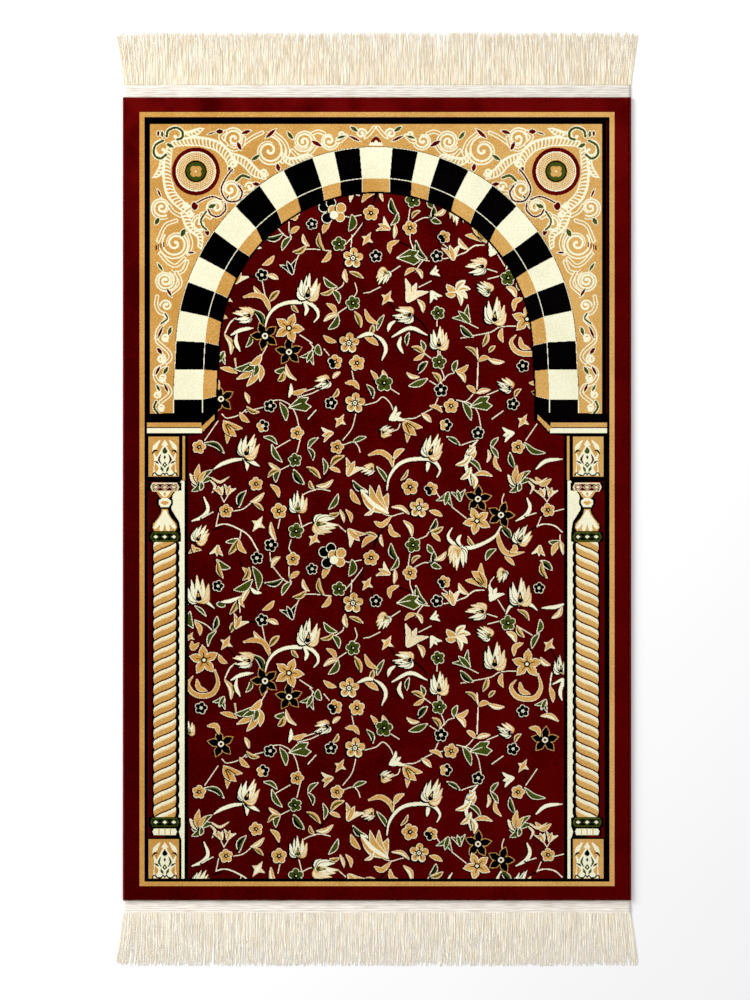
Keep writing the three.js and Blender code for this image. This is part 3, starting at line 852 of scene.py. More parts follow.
for yarn, base, tip, width in (
    (WINE, 57 + 11j, 66 + 8j, 2), (WINE, 66 + 8j, 73 + 8j, 5), (WINE, 91 + 10j, 101 + 7j, 4),
    (WINE, 87 + 18j, 91 + 27j, 4), (WINE, 115 + 15j, 126 + 5j, 4), (WINE, 127 + 40j, 129 + 48j, 4.5),
    (WINE, 161 + 17j, 172 + 23j, 4.5), (WINE, 198 + 12j, 211 + 18j, 3), (WINE, 102 + 60j, 110 + 61j, 4),
    (WINE, 86 + 60j, 92 + 66j, 4.5), (WINE, 7 + 65j, 11 + 74j, 2.5), (WINE, 44.5 + 79j, 44.5 + 86j, 7),
    (WINE, 56 + 106j, 58 + 112j, 4.5), (WINE, 16 + 164j, 22 + 174j, 3), (WINE, 13 + 202j, 7 + 216j, 3),
    (WINE, 7 + 224j, 12 + 231j, 4), (WINE, 10 + 242j, 5 + 252j, 3), (WINE, 14 + 260j, 18 + 269j, 3),
    (WINE, 8 + 7j, 8 + 13j, 3), (WINE, 37 + 129j, 45 + 129j, 2.5), (WINE, 78 + 44j, 83 + 49j, 5),
    (GREEN, 101 + 37j, 110 + 31j, 4), (GREEN, 137 + 8j, 143 + 16j, 4), (GREEN, 186 + 15j, 196 + 12j, 3),
    (GREEN, 200 + 3j, 208 + 8j, 4), (GREEN, 58 + 84j, 66 + 81j, 4.5), (GREEN, 79 + 71j, 74 + 79j, 3),
    (GREEN, 31 + 113j, 35 + 105j, 5), (GREEN, 5 + 101j, 9 + 94j, 4.5), (GREEN, 7 + 139j, 13 + 148j, 3),
    (GREEN, 21 + 203j, 18 + 212j, 4), (GREEN, 18 + 243j, 13 + 251j, 4), (GREEN, 6 + 261j, 10 + 268j, 3),
    (GREEN, 12 + 7j, 12 + 14j, 3), (GREEN, 16 + 20j, 24 + 24j, 4),
):
    drop(yarn, base, tip, width)
for yarn, width, points in (
    (GREEN, 2.4, (16.5 + 13j, 18 + 7j, 26 + 4j, 32 + 8j, 32 + 14j, 27 + 16j)),
    (GREEN, 2.4, (13 + 17j, 5 + 22j, 4 + 31j, 10 + 35j, 16 + 31j)),
    (GREEN, 2.6, (86 + 57j, 92 + 52j, 99 + 54j)), (GREEN, 2, (56 + 88j, 51 + 96j, 52 + 102j, 56 + 106j)),
    (GREEN, 1.8, (15 + 190j, 17 + 195j, 11 + 200j)), (GREEN, 2.2, (6 + 278j, 4 + 284j, 8 + 290j)),
    (WINE, 1.8, (82 + 46j, 76 + 54j, 71 + 66j, 77 + 77j, 88 + 77j, 92 + 69j, 88 + 62j)),
    (WINE, 1.6, (47 + 79j, 55 + 75j, 63 + 73j, 71 + 76j)),
    (WINE, 1.8, (75 + 80j, 75 + 87j, 68 + 93j, 61 + 91j, 58 + 86j)),
):
    lay(width + 1.5, CREAM, *points)
    lay(width, yarn, *points)

# Four short strokes beside the frame, and the small pointed ornament over the crown of the arch
for step in range(4):
    lay(1.2, WINE, 6 + 2.4 * step + (122 - step) * 1j, 6 + 2.4 * step + (126 - step) * 1j)
for side in halves(225 + 13j, 220 + 21j, 230 + 21j):
    line(np.append(side, side[0]), 2, CREAM)
    fill(side, CREAM)
lay(1.8, WINE, 221.5 + 18j, 225 + 13.5j, 228.5 + 18j, smooth=False)

for at in halves(ROUNDEL):
    for radius, yarn in ROUNDEL_RINGS:
        disc(at[0], radius, yarn)
    for ring, beads in enumerate(ROUNDEL_BEADS):
        for bead in range(beads):
            way = 360 * (bead + 0.5 * ring) / beads
            disc(at[0] + turn(way, FIRST_BEAD_RING + BEAD_RINGS_APART * ring), BEAD, CREAM)
    for petal in range(4):
        disc(at[0] + turn(45 + 90 * petal, 3.2), 3.2, GOLD)
    disc(at[0], 0.9, CREAM)

joints = [(degrees, 0, lean) for degrees, lean in ARCH_JOINTS]
joints += [(90, drop, lean) for drop, lean in ARCH_DROPS]
ring_places = [(degrees, 0) for degrees in range(0, 91, DEGREES_PER_STEP)]
ring_places += [(90, SPREAD_DROP), (90, FOOT_DROP)]
outside = [arch_point(ARCH_OUTER + 0.6, *ring_place) for ring_place in ring_places]
inside = [arch_point(ARCH_INNER - 2, *ring_place) for ring_place in ring_places]
for side in both_sides(outside + inside[::-1]):
    fill(side, BLACK)
for number, (start, end) in enumerate(zip(joints, joints[1:])):
    pale = number % 2 == 0
    steps = np.linspace(0, 1, 6)
    degrees = start[0] + steps * (end[0] - start[0])
    drops = start[1] + steps * (end[1] - start[1])
    outer = [arch_point(ARCH_OUTER, a, d) for a, d in zip(degrees, drops)]
    edge = [arch_point(ARCH_EDGE, a, d) for a, d in zip(degrees, drops)]
    soffit = [soffit_point(*start[:2], start[2]), soffit_point(*end[:2], end[2])]
    for side in both_sides(outer + edge[::-1]):
        fill(side, CREAM if pale else BLACK)
    for side in both_sides(edge + soffit[::-1]):
        fill(side, GOLD if pale else BLACK)
    for ring, width in ((edge, 0.8), ([edge[-1], soffit[1]] if pale else outer, 0.6)):
        for side in both_sides(ring):
            line(side, width, CREAM)

# The imposts, panels and columns that carry the arch, with a cream strip beside each column.
# Every ornament on them is mirrored on the column's own axis, as a turned shape is.
AXIS = 14.6
COLUMN_FOOT = 755.3
SHAFT_TOP = 418
SHAFT_FOOT = 694
TWIST_PITCH = 11
TWIST_RISE = 11.5
TWIST_WIDTH = 22
SHAFT_HALF = 10.2
STRAND_BULGE = 1.1
SHAFT_END_GAP = 0.6


def turned_shape(yarn, margin, *profile):
    """A turned shape, from its half widths down the axis."""
    outer = [AXIS - half - margin + 1j * down for half, down in profile]
    inner = [AXIS + half + margin + 1j * down for half, down in profile]
    block(yarn, *outer, *inner[::-1])


def pair(width, yarn, *points):
    """A stroke and its mirror image on the axis of the column."""
    lay(width, yarn, *points)
    lay(width, yarn, *(2 * AXIS - np.conj(np.array(points))))


block(BLACK, -5.4 + 290j, 65.5 + 289j, 65.5 + 297j, 53 + 310.5j, 38 + 312j, -5.4 + 312j)
bar(GOLD, -5.2, 51.5, 298.8, 303.3)
bar(CREAM, -5.2, 52, 304.6, 309.4)
block(GOLD, 50.6 + 304j, 64.4 + 290.6j, 64.4 + 295.4j, 53 + 308j)
bar(BLACK, -5.2, 38, 309.6, COLUMN_FOOT + 2)
bar(GOLD, 32.2, 34.6, 312.4, 356.6)
bar(WINE, -2.8, AXIS, 358, 714)
downs = np.arange(SHAFT_TOP, SHAFT_FOOT, 1.1)
ragged = 28.2 + 1.3 * abs(np.sin(np.pi * (downs - SHAFT_TOP) / TWIST_PITCH)) + 1j * downs
block(
    CREAM, 34.4 + 357j, 31 + 357j, 27 + 364j, 22.5 + 372j, 20.8 + 381j, 21.5 + 386j, 25 + 392j,
    29 + 398j, 30 + 404j, 30.6 + 410j, 30.6 + 417j, *ragged, 30.8 + 695j, 30.8 + 703j, 28.6 + 708j,
    30 + 713j, 31.4 + 716j, 31.4 + COLUMN_FOOT * 1j, 34.4 + COLUMN_FOOT * 1j,
)
SILHOUETTE = (
    (15.2, 359), (15.2, 367), (9.5, 367.5), (5.5, 373), (7, 378), (6.5, 381.5), (4, 384.5), (4, 390),
    (8, 396), (12, 400), (12.6, 404), (11, 408), (15, 408.5), (15, 418), (11.4, 418.5), (11.4, 693.5),
    (15, 694), (15, 703), (12.4, 704), (12.4, 712),
)
turned_shape(BLACK, 1.4, *SILHOUETTE)

# The panels above and below each column, with a cream palmette on gold
for top, heart, wing in ((313, GREEN, WINE), (715.4, BLACK, GREEN)):
    bar(GOLD, -1.6, 28.8, top, top + 40.2)
    turned_shape(
        CREAM, 0, (0, top + 3), (3.6, top + 8.5), (1.6, top + 9), (5, top + 15), (8.5, top + 21),
        (9.5, top + 30), (11.5, top + 39), (0, top + 39),
    )
    for width, yarn, points in (
        ((1.5, 4.6, 1), CREAM, (-5 + 4j, -9.5 + 10j, -12 + 16j)),
        ((1.2, 3.4, 2), CREAM, (-11 + 17j, -9 + 25j, -11 + 38j)),
        ((1, 2.2, 0.6), BLACK, (-12.4 + 17j, -10 + 14j, -7 + 14.5j)),
        ((0.6, 4.2, 0.6), GOLD, (-9.6 + 27j, -8.4 + 31.5j, -9.6 + 36.5j)),
        ((0.8, 2.4, 0.8), wing, (-4 + 18j, -5.8 + 23j, -3.6 + 27.5j)),
        ((0.8, 2, 0.8), BLACK, (-10.2 + 24.6j, -8 + 25.6j, -6.4 + 27j)),
        ((1, 2.6, 1), GREEN, (-4 + 30j, -2.8 + 32.6j, -1.6 + 35j)),
        (1.3, BLACK, (-12.4 + 39j, -10.6 + 36j, -7.6 + 38.4j, -4.4 + 39j)),
        (1.2, BLACK, (-3.6 + 38.6j, -1.6 + 36.4j, 38.4j)),
    ):
        pair(width, yarn, *(np.array(points) + AXIS + 1j * top))
    turned_shape(heart, 0, (0, top + 10), (2.6, top + 14), (2.4, top + 16), (0, top + 17.4))
    turned_shape(BLACK, 0, (0, top + 18.6), (1.3, top + 20.4), (0, top + 23))
    turned_shape(GREEN, 0, (0, top + 25), (2.6, top + 28.2), (0, top + 31.4))
    turned_shape(CREAM, 0, (0, top + 27.2), (1, top + 28.2), (0, top + 29.2))

# Three collars, each a chain of lozenges
COLLAR_HALF = 14.6
COLLAR_HEIGHT = 9.2
for top, edge, ground, jewel in (
    (359, STRAW, WINE, STRAW), (408.6, GREEN, BLACK, CREAM), (694, GREEN, BLACK, CREAM),
):
    middle = top + COLLAR_HEIGHT / 2
    for inset, yarn in ((0, edge), (1.3, ground)):
        corner = (COLLAR_HALF - 2.4 - inset / 2, top + inset)
        foot_corner = (corner[0], top + COLLAR_HEIGHT - inset)
        turned_shape(yarn, 0, corner, (COLLAR_HALF - inset, middle), foot_corner)
    for at in (AXIS - 9.1, AXIS, AXIS + 9.1):
        for reach, rise, yarn in ((4.5, 3.4, edge), (3.8, 2.7, ground), (2.4, 1.7, jewel)):
            block(yarn, *(at + 1j * middle + np.array((-reach, -1j * rise, reach, 1j * rise))))

# The cup, the bulb and the fluted bell of the capital, and the cushion under the shaft
turned_shape(GOLD, 0, (8.8, 367.8), (5, 373.5), (3, 375))
turned_shape(CREAM, 0, (6, 368), (3, 372), (0, 374))
turned_shape(GOLD, 0, (0, 368), (1.4, 370), (0, 373))
turned_shape(CREAM, 0, (3, 374.6), (6, 377), (6, 380), (4, 383.4))
turned_shape(GOLD, 0, (2.6, 377.6), (4.2, 379.4), (1, 381.4))
turned_shape(GOLD, 0, (3, 385.4), (4, 390), (7, 395), (11.6, 400), (12.2, 404), (10.6, 407.4))
for lean, reach in ((-9.4, 18.5), (-3.4, 20.6), (3.4, 20.6), (9.4, 18.5)):
    flute = (AXIS + lean * 0.12 + 387j, AXIS + lean * 0.4 + 395j, AXIS + lean + (385 + reach) * 1j)
    lay((0.8, 2.4, 4.6, 3.6), CREAM, *flute)
turned_shape(CREAM, 0, (11, 705.2), (12.2, 708), (11, 711.4))
for lean in (-5.6, 0, 5.6):
    lay(1, GOLD, AXIS + lean + 705j, AXIS + lean + 711.6j)

# The twisted shaft: every strand has a lit upper edge, a gold body and a dark line under it
for side, mirror in zip(halves(AXIS - 13 + SHAFT_TOP * 1j, AXIS + 13 + SHAFT_FOOT * 1j), (-1, 1)):
    place, tufts = patch(side, 0)
    across = mirror * (tufts.real - side.real.mean()) + 0 * tufts.imag
    down = CORNER_UP - tufts.imag
    share = across / TWIST_WIDTH + 0.5
    climb = TWIST_RISE * (share + 0.05 * np.sin(2 * np.pi * share))
    phase = ((down + climb) / TWIST_PITCH + 0 * across) % 1
    strand = abs(across) < SHAFT_HALF + STRAND_BULGE * np.sin(np.pi * phase)
    strand &= (down > SHAFT_TOP + SHAFT_END_GAP) & (down < SHAFT_FOOT - SHAFT_END_GAP)
    for start, yarn in ((0, WINE), (0.14, CREAM), (0.36, STRAW), (0.52, GOLD)):
        chart[place][strand & (phase >= start)] = yarn

# The border lines come last: a black one and a gold one round the field, then the plain wine border
for yarn, across, head, foot in (
    (BLACK, 229.8, 780.6, 22.1), (GOLD, 232.6, 783.5, 19.2), (WINE, 237.7, 788.3, 14.4),
):
    chart[(abs(tuft_across) > across) | (tuft_up[:, None] > head) | (tuft_up[:, None] < foot)] = yarn

# The pile: two-ply acrylic yarn in six colours, knotted row by row and shorn level.
# Each yarn is one piece: the tufts that the chart gives it, with tufts side by side joined.
# The outermost tufts are left out here, because they lean over as the rounded edge below.
PILE_TOP = body_high.z
EDGE_COLUMNS = 7
EDGE_ROWS = 2
TUFT_GRAIN = 2.2 * MILLIMETRE
PAINTED_LIGHT_PATCH = 50 * MILLIMETRE
# Painted light on all the pile: darker on the left and lighter on the right, the change per metre across
PAINTED_LIGHT_SLOPE = 1.1


def tuft_runs(knotted):
    """Rectangles that cover the knotted tufts: their left, right, foot and head, in tufts."""
    rectangles = []
    open_runs = {}
    for row, tufts in enumerate(np.pad(knotted, ((0, 1), (1, 1))).astype(np.int8)):
        steps = np.flatnonzero(np.diff(tufts))
        next_runs = {run: open_runs.pop(run, row) for run in zip(steps[::2], steps[1::2])}
        rectangles += [(left, right, foot, row) for (left, right), foot in open_runs.items()]
        open_runs = next_runs
    return np.array(rectangles).T


def pile_yarn(name, shade_hex, lit_hex, painted_sheen_hex=None):
    """Dyed cut pile, soft and matt: painted shade where the tufts part, painted light where the nap is
    raised, painted light growing from left to right, and a painted sheen towards the head when a third
    colour is given.
    """
    material, tree, shader, place = fibre_material(name, 0.95, 0, 0.06, lit_hex)
    tufts = add_node(tree, "ShaderNodeTexNoise", {"Vector": place, "Scale": 1 / TUFT_GRAIN, "Detail": 1})
    painted_light_patches = add_node(tree, "ShaderNodeTexNoise", {"Vector": place, "Scale": 1 / PAINTED_LIGHT_PATCH, "Detail": 2})
    both = add_node(tree, "ShaderNodeMix", {0: 0.4, 2: tufts.outputs["Fac"], 3: painted_light_patches.outputs["Fac"]})
    contrast = {"Value": both.outputs[0], "From Min": 0.38, "From Max": 0.62}
    share = add_node(tree, "ShaderNodeMapRange", contrast)
    spot = add_node(tree, "ShaderNodeSeparateXYZ", {0: place})
    slope = {0: spot.outputs["X"], 1: PAINTED_LIGHT_SLOPE, 2: share.outputs[0]}
    painted_light_share = add_node(tree, "ShaderNodeMath", slope, operation="MULTIPLY_ADD")
    dye_with_painted_light_and_shade = blend(tree, painted_light_share.outputs[0], shade_hex, lit_hex)
    if painted_sheen_hex is not None:
        # Painted sheen: patches of the pile are painted lighter towards the head
        from_foot = {"From Min": 0.28 * RUG_LENGTH, "From Max": 0.48 * RUG_LENGTH}
        head = add_node(tree, "ShaderNodeMapRange", {"Value": spot.outputs["Y"], **from_foot})
        patchy = {"Value": painted_light_patches.outputs["Fac"], "From Min": 0.3, "From Max": 0.6}
        patches = add_node(tree, "ShaderNodeMapRange", patchy)
        both_shares = {0: head.outputs[0], 1: patches.outputs[0]}
        painted_sheen_share = add_node(tree, "ShaderNodeMath", both_shares, operation="MULTIPLY")
        dye_with_painted_light_and_shade = blend(tree, painted_sheen_share.outputs[0], dye_with_painted_light_and_shade, painted_sheen_hex)
    relief = {"Height": tufts.outputs["Fac"], "Strength": 0.4, "Distance": MILLIMETRE}
    ends = add_node(tree, "ShaderNodeBump", relief)
    tree.links.new(dye_with_painted_light_and_shade, shader.inputs["Base Color"])
    tree.links.new(ends.outputs["Normal"], shader.inputs["Normal"])
    return material


# The wine pile alone gets the painted sheen towards the head, in its third colour
wine_yarn = pile_yarn("wine_acrylic_cut_pile", 0x380000, 0x520202, 0x5E0606)
yarns = (
    ("wine_pile", WINE, wine_yarn),
    ("gold_pile", GOLD, pile_yarn("gold_acrylic_cut_pile", 0xB88640, 0xD2A660)),
    ("black_pile", BLACK, pile_yarn("black_acrylic_cut_pile", 0x000000, 0x050303)),
    ("cream_pile", CREAM, pile_yarn("cream_acrylic_cut_pile", 0xE0DCBC, 0xF0EED0)),
    ("green_pile", GREEN, pile_yarn("olive_acrylic_cut_pile", 0x2E380C, 0x464F16)),
    ("straw_pile", STRAW, pile_yarn("straw_acrylic_cut_pile", 0xD2BE94, 0xEEDCB4)),
)
shorn = np.zeros(chart.shape, bool)
shorn[EDGE_ROWS:-EDGE_ROWS, EDGE_COLUMNS:-EDGE_COLUMNS] = True
pile_half = np.array((COLUMNS / 2 - EDGE_COLUMNS, ROWS / 2 - EDGE_ROWS)) * TUFT
for name, yarn, material in yarns:
    left, right, foot, head = tuft_runs((chart == yarn) & shorn)
    corners = np.empty((len(left), 4, 3))
    corners[..., 0] = (np.stack((left, right, right, left), 1) - COLUMNS / 2) * TUFT
    corners[..., 1] = (np.stack((foot, foot, head, head), 1) - ROWS / 2) * TUFT
    corners[..., 2] = PILE_TOP
    piece = rug_piece(name, corners, np.arange(4 * len(left)).reshape(-1, 4).tolist(), material)
    # A flat piece is mapped from above, as it lies
    seen = corners[..., :2].reshape(-1, 2) / (2 * pile_half) + 0.5
    piece.data.uv_layers.new(name="OFBake").data.foreach_set("uv", seen.ravel())

# The body of the pile, from the ground weave to just under the shorn tips, in the border's yarn.
# At its edge the outer tufts have nothing beside them, so they lean out and round over, unevenly.
EDGE_STEP = 2 * MILLIMETRE
EDGE_UNEVENNESS = 0.4 * MILLIMETRE
# How far each level of the edge leans out, and its height, in millimetres
EDGE_SECTION = ((0.6, 0.4), (0.85, 2.2), (0.9, 4.5), (0.75, 5.8), (0.35, 6.7), (0, 7), (-0.4, 6.6))
chance = np.random.default_rng(7)


def round_the_edge(half_x, half_y, step):
    """Evenly spaced points round a rectangle, anticlockwise."""
    ends = np.array(((1, -1), (1, 1), (-1, 1), (-1, -1), (1, -1))) * (half_x, half_y)
    sides = []
    for start, end in zip(ends, ends[1:]):
        count = round(abs(end - start).sum() / step)
        sides.append(np.linspace(start, end, count, endpoint=False))
    return np.concatenate(sides)


outline = round_the_edge(*pile_half, EDGE_STEP)
corners = np.empty((len(EDGE_SECTION), len(outline), 3))
for level, (lean, height) in zip(corners, EDGE_SECTION):
    uneven = EDGE_UNEVENNESS * (chance.random(len(outline)) - 0.5) if lean > 0 else 0 * outline[:, 0]
    level[:, :2] = outline * (1 + (lean * MILLIMETRE + uneven)[:, None] / pile_half)
    level[:, 2] = height * MILLIMETRE
faces = tube_faces(len(EDGE_SECTION), len(outline))
pile_body = rug_piece("pile_body", corners, faces, wine_yarn, smooth=True)

# The long edges: the outer warps are overcast with red yarn, turn beside turn, in a round cord.
# The turns slant a little and vary in thickness, as in overcasting guided by hand.
TURN_PITCH = 2 * MILLIMETRE
STEPS_PER_TURN = 4
CORD_SIDES = 10
TURN_HEIGHT = 0.22 * MILLIMETRE

# Lighter and redder than the pile: painted light for the round cord catching the light
overcasting = fibre_material("red_acrylic_overcasting_yarn", 0.85, 0.05, 0.1, 0xA02024)
overcast_yarn, tree, shader, place = overcasting
fineness = {"Vector": place, "Scale": 1 / (1.2 * MILLIMETRE), "Detail": 1}
plies = add_node(tree, "ShaderNodeTexNoise", fineness).outputs["Fac"]
share = add_node(tree, "ShaderNodeMapRange", {"Value": plies, "From Min": 0.35, "From Max": 0.65})
# Painted shade and light on the plies, darker and lighter by turns
dye_with_painted_light_and_shade = blend(tree, share.outputs[0], 0x580404, 0x7C0A0C)
relief = {"Height": plies, "Strength": 0.4, "Distance": 0.4 * MILLIMETRE}
twist = add_node(tree, "ShaderNodeBump", relief)
tree.links.new(dye_with_painted_light_and_shade, shader.inputs["Base Color"])
tree.links.new(twist.outputs["Normal"], shader.inputs["Normal"])

for side in ("left", "right"):
    low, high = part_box("selvedge_" + side)
    middle = (low + high) / 2
    half = (high - low) / 2
    turn_count = round(2 * half.y / TURN_PITCH)
    rings = np.arange(turn_count * STEPS_PER_TURN + 1)[:, None]
    thickness = 0.5 + 0.5 * chance.random(turn_count + 1)
    swell = abs(np.sin(np.pi * rings / STEPS_PER_TURN)) * thickness[rings // STEPS_PER_TURN]
    bulge = TURN_HEIGHT * (swell - 0.2)
    around = np.arange(CORD_SIDES) / CORD_SIDES * 2 * np.pi
    # The first and the last turn stand square, so that the ends are cut straight
    from_end = np.minimum(rings, rings[::-1]) / STEPS_PER_TURN
    slant = 0.3 * TURN_PITCH * np.cos(around) * np.clip(from_end, 0, 1)
    corners = np.empty((len(rings), CORD_SIDES, 3))
    corners[..., 0] = middle.x + np.cos(around) * (half.x + bulge)
    corners[..., 1] = middle.y + half.y * (2 * rings / rings[-1] - 1) + slant
    # The turns are pressed flat where they rest on the floor
    corners[..., 2] = np.maximum(middle.z + np.sin(around) * (half.z + bulge), FLOOR_CLEARANCE)
    faces = [face[::-1] for face in tube_faces(len(rings), CORD_SIDES)]
    edge = rug_piece("overcast_" + side, corners, faces, overcast_yarn, smooth=True)
    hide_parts("selvedge_" + side)

# The end bands: cotton woven past the last row of knots and beaten into ribs, which keep
# the knots from slipping off. The lower band is painted lighter than the upper one, to make up for the
# weaker light at the foot.
PARTING = 0.3 * MILLIMETRE
BAND_HALF = 349.5 * MILLIMETRE
BAND_START = body_high.y + PARTING
BAND_LENGTH = 18 * MILLIMETRE
BAND_HEIGHT = 2 * MILLIMETRE
BAND_STEP = 4 * MILLIMETRE
RIBS = 6
STEPS_PER_RIB = 6
RIB_WANDER = 0.5 * MILLIMETRE
# Heights as shares of the band's: between ribs, of the outermost rib, and at both edges
GROOVE_SHARE = 0.68
OUTERMOST_RIB_SHARE = 0.75
BAND_EDGE_SHARE = 0.3


def ribbed_cotton(name, groove_shade_hex, rib_light_hex):
    """Matt cotton ribs: long pale streaks along the wefts, with darker lines of painted shade for the
    grooves.
    """
    material, tree, shader, place = fibre_material(name, 0.95, 0.1, 0.05, rib_light_hex)
    drawn_out = add_node(tree, "ShaderNodeMapping", {"Vector": place, "Scale": (40, 900, 1)})
    slubs = add_node(tree, "ShaderNodeTexNoise", {"Vector": drawn_out.outputs[0], "Scale": 1, "Detail": 3})
    contrast = {"Value": slubs.outputs["Fac"], "From Min": 0.38, "From Max": 0.56}
    share = add_node(tree, "ShaderNodeMapRange", contrast)
    cotton = blend(tree, share.outputs[0], groove_shade_hex, rib_light_hex)
    relief = {"Height": slubs.outputs["Fac"], "Strength": 0.5, "Distance": 0.5 * MILLIMETRE}
    raised = add_node(tree, "ShaderNodeBump", relief)
    tree.links.new(cotton, shader.inputs["Base Color"])
    tree.links.new(raised.outputs["Normal"], shader.inputs["Normal"])
    return material


columns = np.linspace(-BAND_HALF, BAND_HALF, round(2 * BAND_HALF / BAND_STEP))
rows = np.arange(RIBS * STEPS_PER_RIB + 1)[:, None] / STEPS_PER_RIB
for end, outward, material in (
    ("top", 1, ribbed_cotton("upper_cotton_ribbed_weave", 0xCCC2B6, 0xE8E4DA)),
    ("bottom", -1, ribbed_cotton("lower_cotton_ribbed_weave_painted_lighter", 0xE0D4C6, 0xFFF8EE)),
):
    # Each rib wanders a little from its straight line, more in the middle of the band
    wander = np.cumsum(chance.normal(0, 0.12, (RIBS + 1, len(columns))), 1)
    wander = np.sin(wander) * RIB_WANDER
    wander[[0, -1]] = 0
    lower = np.floor(rows).astype(int).clip(0, RIBS - 1)
    share = rows - lower
    wander = wander[lower[:, 0]] * (1 - share) + wander[lower[:, 0] + 1] * share
    height = BAND_HEIGHT * (GROOVE_SHARE + (1 - GROOVE_SHARE) * abs(np.sin(np.pi * rows)) ** 0.6)
    # The outermost rib is flatter, where the warps come out of it
    height = np.where(rows > RIBS - 1, OUTERMOST_RIB_SHARE * height, height)
    height[[0, -1]] = BAND_EDGE_SHARE * BAND_HEIGHT
    top = np.empty((len(rows), len(columns), 3))
    top[..., 0] = columns
    top[..., 1] = outward * (BAND_START + BAND_LENGTH * rows / RIBS + wander)
    top[..., 2] = height
    corner = np.arange(top[..., 0].size).reshape(len(rows), len(columns))
    quads = np.stack((corner[:-1, :-1], corner[:-1, 1:], corner[1:, 1:], corner[1:, :-1]), -1)
    quads = quads.reshape(-1, 4)
    rim = np.concatenate((corner[0, :-1], corner[:-1, -1], corner[-1, :0:-1], corner[:0:-1, 0]))
    foot = top.reshape(-1, 3)[rim] * (1, 1, 0) + (0, 0, FLOOR_CLEARANCE)
    under = corner.size + np.arange(len(rim))
    walls = np.stack((np.roll(rim, -1), rim, under, np.roll(under, -1)), 1)
    faces = quads.tolist() + walls.tolist() + [under[::-1].tolist()]
    if outward < 0:
        faces = [face[::-1] for face in faces]
    corners = np.concatenate((top.reshape(-1, 3), foot))
    band = rug_piece("band_" + end, corners, faces, material, smooth=True)
    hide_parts("fringe_" + end)

# The fringe: the warp ends, soft two-ply cotton, combed out straight and cut to one length.
# Neighbours cling together in locks towards their tips, and the outermost ones splay.
YARNS_ACROSS = 1240
YARN_SIDES = 4
YARN_STEPS = 10
YARN_THICKNESS = 1.05 * MILLIMETRE
ROOT_IN_BAND = 0.5 * MILLIMETRE
LONGEST_PAST_THE_CUT = 1.3 * MILLIMETRE
SPLAY = 10.5 * MILLIMETRE
SPLAY_POWER = 13
LOCK_WIDTH = 9 * MILLIMETRE
LOCK_PULL = 0.18
# As shares of the band's half width: the yarns past these stay in line, and out of the locks
IN_LINE_FROM = 0.985
LOCKS_UP_TO = 0.97
CUT_UNEVENNESS = 0.1
TIP_TAPER = 0.5
ROOT_SHIFT = 0.2 * MILLIMETRE
TIP_SHIFT = 1.6 * MILLIMETRE
WAVE = 0.5 * MILLIMETRE


def spread(size):
    """An uneven sideways shift for every yarn but the outermost, which stay in line."""
    return chance.normal(0, size, YARNS_ACROSS) * (abs(root) < IN_LINE_FROM * BAND_HALF)


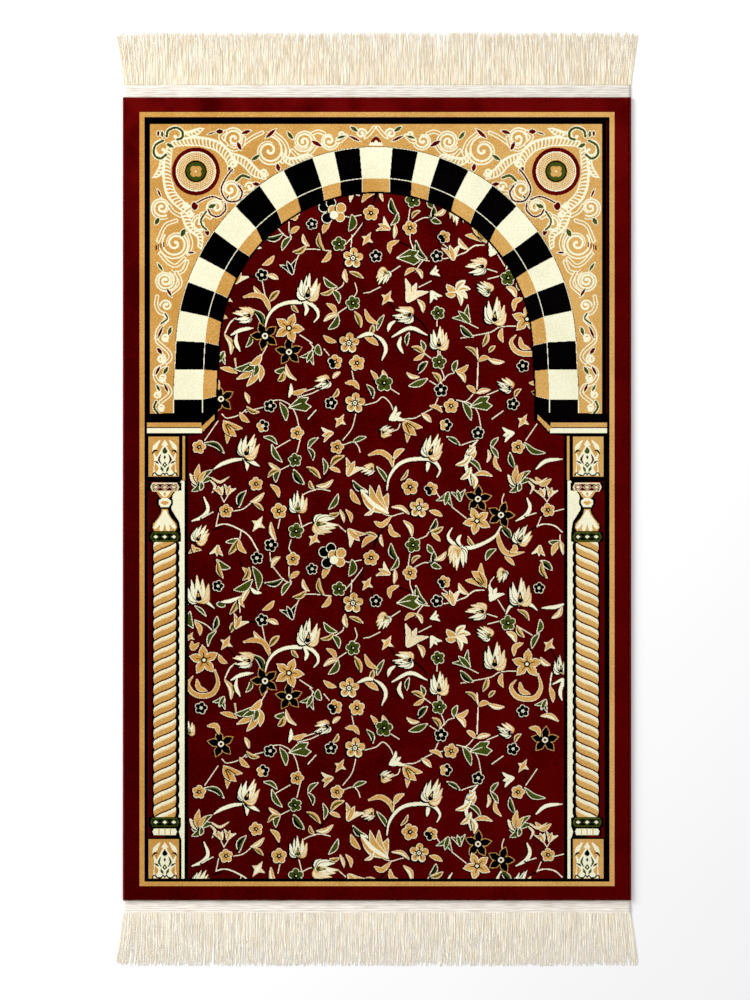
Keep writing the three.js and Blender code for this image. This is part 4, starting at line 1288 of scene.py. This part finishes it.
# The foot's fringe is painted lighter than the head's, to make up for the weaker light at the foot
for end, outward, shade_hex, lit_hex in (
    ("top", 1, 0xE0CCA8, 0xFCF4E2), ("bottom", -1, 0xFBEBD0, 0xFFFBEE),
):
    # Long streaks run down each yarn, lit plies beside shaded ones
    finish = fibre_material(end + "_fringe_two_ply_cotton", 0.9, 0.1, 0.05, lit_hex)
    cotton, tree, shader, place = finish
    drawn_out = add_node(tree, "ShaderNodeMapping", {"Vector": place, "Scale": (1100, 40, 500)})
    plies = add_node(tree, "ShaderNodeTexNoise", {"Vector": drawn_out.outputs[0], "Scale": 1, "Detail": 2})
    contrast = {"Value": plies.outputs["Fac"], "From Min": 0.35, "From Max": 0.6}
    share = add_node(tree, "ShaderNodeMapRange", contrast)
    tree.links.new(blend(tree, share.outputs[0], shade_hex, lit_hex), shader.inputs["Base Color"])

    band_end = BAND_START + BAND_LENGTH
    reach = max(outward * corner.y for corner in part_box("fringe_" + end)) - band_end
    reach += LONGEST_PAST_THE_CUT
    root = np.linspace(-1, 1, YARNS_ACROSS) * (BAND_HALF - YARN_THICKNESS / 2)
    root = root + spread(ROOT_SHIFT)
    splay = SPLAY * np.sign(root) * (abs(root) / BAND_HALF) ** SPLAY_POWER
    lock = np.round(root / LOCK_WIDTH + 0.3 * np.sin(90 * root)) * LOCK_WIDTH
    lean = LOCK_PULL * (lock - root) * (abs(root) < LOCKS_UP_TO * BAND_HALF) + spread(TIP_SHIFT)
    length = reach * (1 - CUT_UNEVENNESS * chance.random(YARNS_ACROSS) ** 1.4)
    wave = spread(WAVE)
    phase = 2 * np.pi * chance.random((YARNS_ACROSS, 1))
    free_height = BAND_HEIGHT - YARN_THICKNESS - 0.3 * MILLIMETRE
    level = free_height * chance.random((YARNS_ACROSS, 1))
    thickness = YARN_THICKNESS * (1 + 0.12 * chance.normal(size=(YARNS_ACROSS, 1)))
    # The first and the last step are short, so that the shading of an end stays at the end
    along = np.concatenate(((0,), np.linspace(0.01, 0.985, YARN_STEPS - 1), (1,)))[None]
    radius = thickness / 2 * (1 - TIP_TAPER * along**6)
    middle_x = root[:, None] + splay[:, None] * along**1.1 + lean[:, None] * along**2
    middle_x += wave[:, None] * np.sin(4 * np.pi * along + phase) * along**0.5
    middle_y = outward * (band_end - ROOT_IN_BAND + length[:, None] * along)
    # The yarns come out high, from inside the band, and sink together on the floor
    middle_z = YARN_THICKNESS / 2 + level * (1 - 0.6 * along)
    middle_z += 0.15 * MILLIMETRE * np.sin(5 * along + phase) + 0.3 * MILLIMETRE * (1 - along) ** 6
    around = (np.arange(YARN_SIDES) + 0.5) / YARN_SIDES * 2 * np.pi
    corners = np.empty((YARNS_ACROSS, YARN_STEPS + 1, YARN_SIDES, 3))
    corners[..., 0] = middle_x[..., None] + radius[..., None] * np.cos(around)
    corners[..., 1] = middle_y[..., None]
    height = middle_z[..., None] + radius[..., None] * np.sin(around)
    corners[..., 2] = np.maximum(height, FLOOR_CLEARANCE)
    one_yarn = [face[::-outward] for face in tube_faces(YARN_STEPS + 1, YARN_SIDES)]
    first_corners = range(0, corners[..., 0].size, (YARN_STEPS + 1) * YARN_SIDES)
    faces = [[first + corner for corner in face] for first in first_corners for face in one_yarn]
    fringe = rug_piece("fringe_yarns_" + end, corners, faces, cotton, smooth=True)
    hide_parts("fringe_" + end)

# The studio: a plain pale floor, soft light from the upper left, and the camera straight above.
# The light is low enough to shade the floor at the right edge and the sides of the fringe yarns.
CAMERA_PLACE = (-0.00275, -0.0016, 3.254)
LENS = 85
FLOOR_HALF = 4
LIGHTS = (
    # Name, place, what it points at, size and power
    ("key_light", (-2.6, 1.3, 1.9), (0, 0, 0), 1.9, 115),
    ("head_light", (0.3, 2.2, 1.6), (0.1, 0.4, 0), 1, 12),
)
SKY_STRENGTH = 0.56

floor_paper, tree, shader, place = fibre_material("white_matt_paper_floor", 0.9, 0.1, 0, 0xFFFFFF)
grain = add_node(tree, "ShaderNodeTexNoise", {"Vector": place, "Scale": 3, "Detail": 1})
tree.links.new(blend(tree, grain.outputs["Fac"], 0xFCFCFC, 0xFEFEFE), shader.inputs["Base Color"])
mesh = bpy.data.meshes.new("floor")
floor_corners = [(FLOOR_HALF * x, FLOOR_HALF * y, 0) for x, y in ((-1, -1), (1, -1), (1, 1), (-1, 1))]
mesh.from_pydata(floor_corners, [], [(0, 1, 2, 3)])
mesh.materials.append(floor_paper)
floor = bpy.data.objects.new("floor", mesh)
bpy.context.scene.collection.objects.link(floor)

for name, place, aim, size, power in LIGHTS:
    lamp = bpy.data.lights.new(name, "AREA")
    lamp.size = size
    lamp.energy = power
    light = bpy.data.objects.new(name, lamp)
    light.location = place
    light.rotation_euler = (Vector(place) - Vector(aim)).to_track_quat("Z", "Y").to_euler()
    light.visible_camera = False
    bpy.context.scene.collection.objects.link(light)

sky = bpy.data.worlds.new("studio")
sky.use_nodes = True
sky.node_tree.nodes["Background"].inputs["Color"].default_value = (1, 1, 1, 1)
sky.node_tree.nodes["Background"].inputs["Strength"].default_value = SKY_STRENGTH
bpy.context.scene.world = sky
bpy.context.scene.view_settings.view_transform = "Standard"

lens = bpy.data.cameras.new("camera")
lens.lens = LENS
camera = bpy.data.objects.new("camera", lens)
camera.location = CAMERA_PLACE
bpy.context.scene.collection.objects.link(camera)
bpy.context.scene.camera = camera
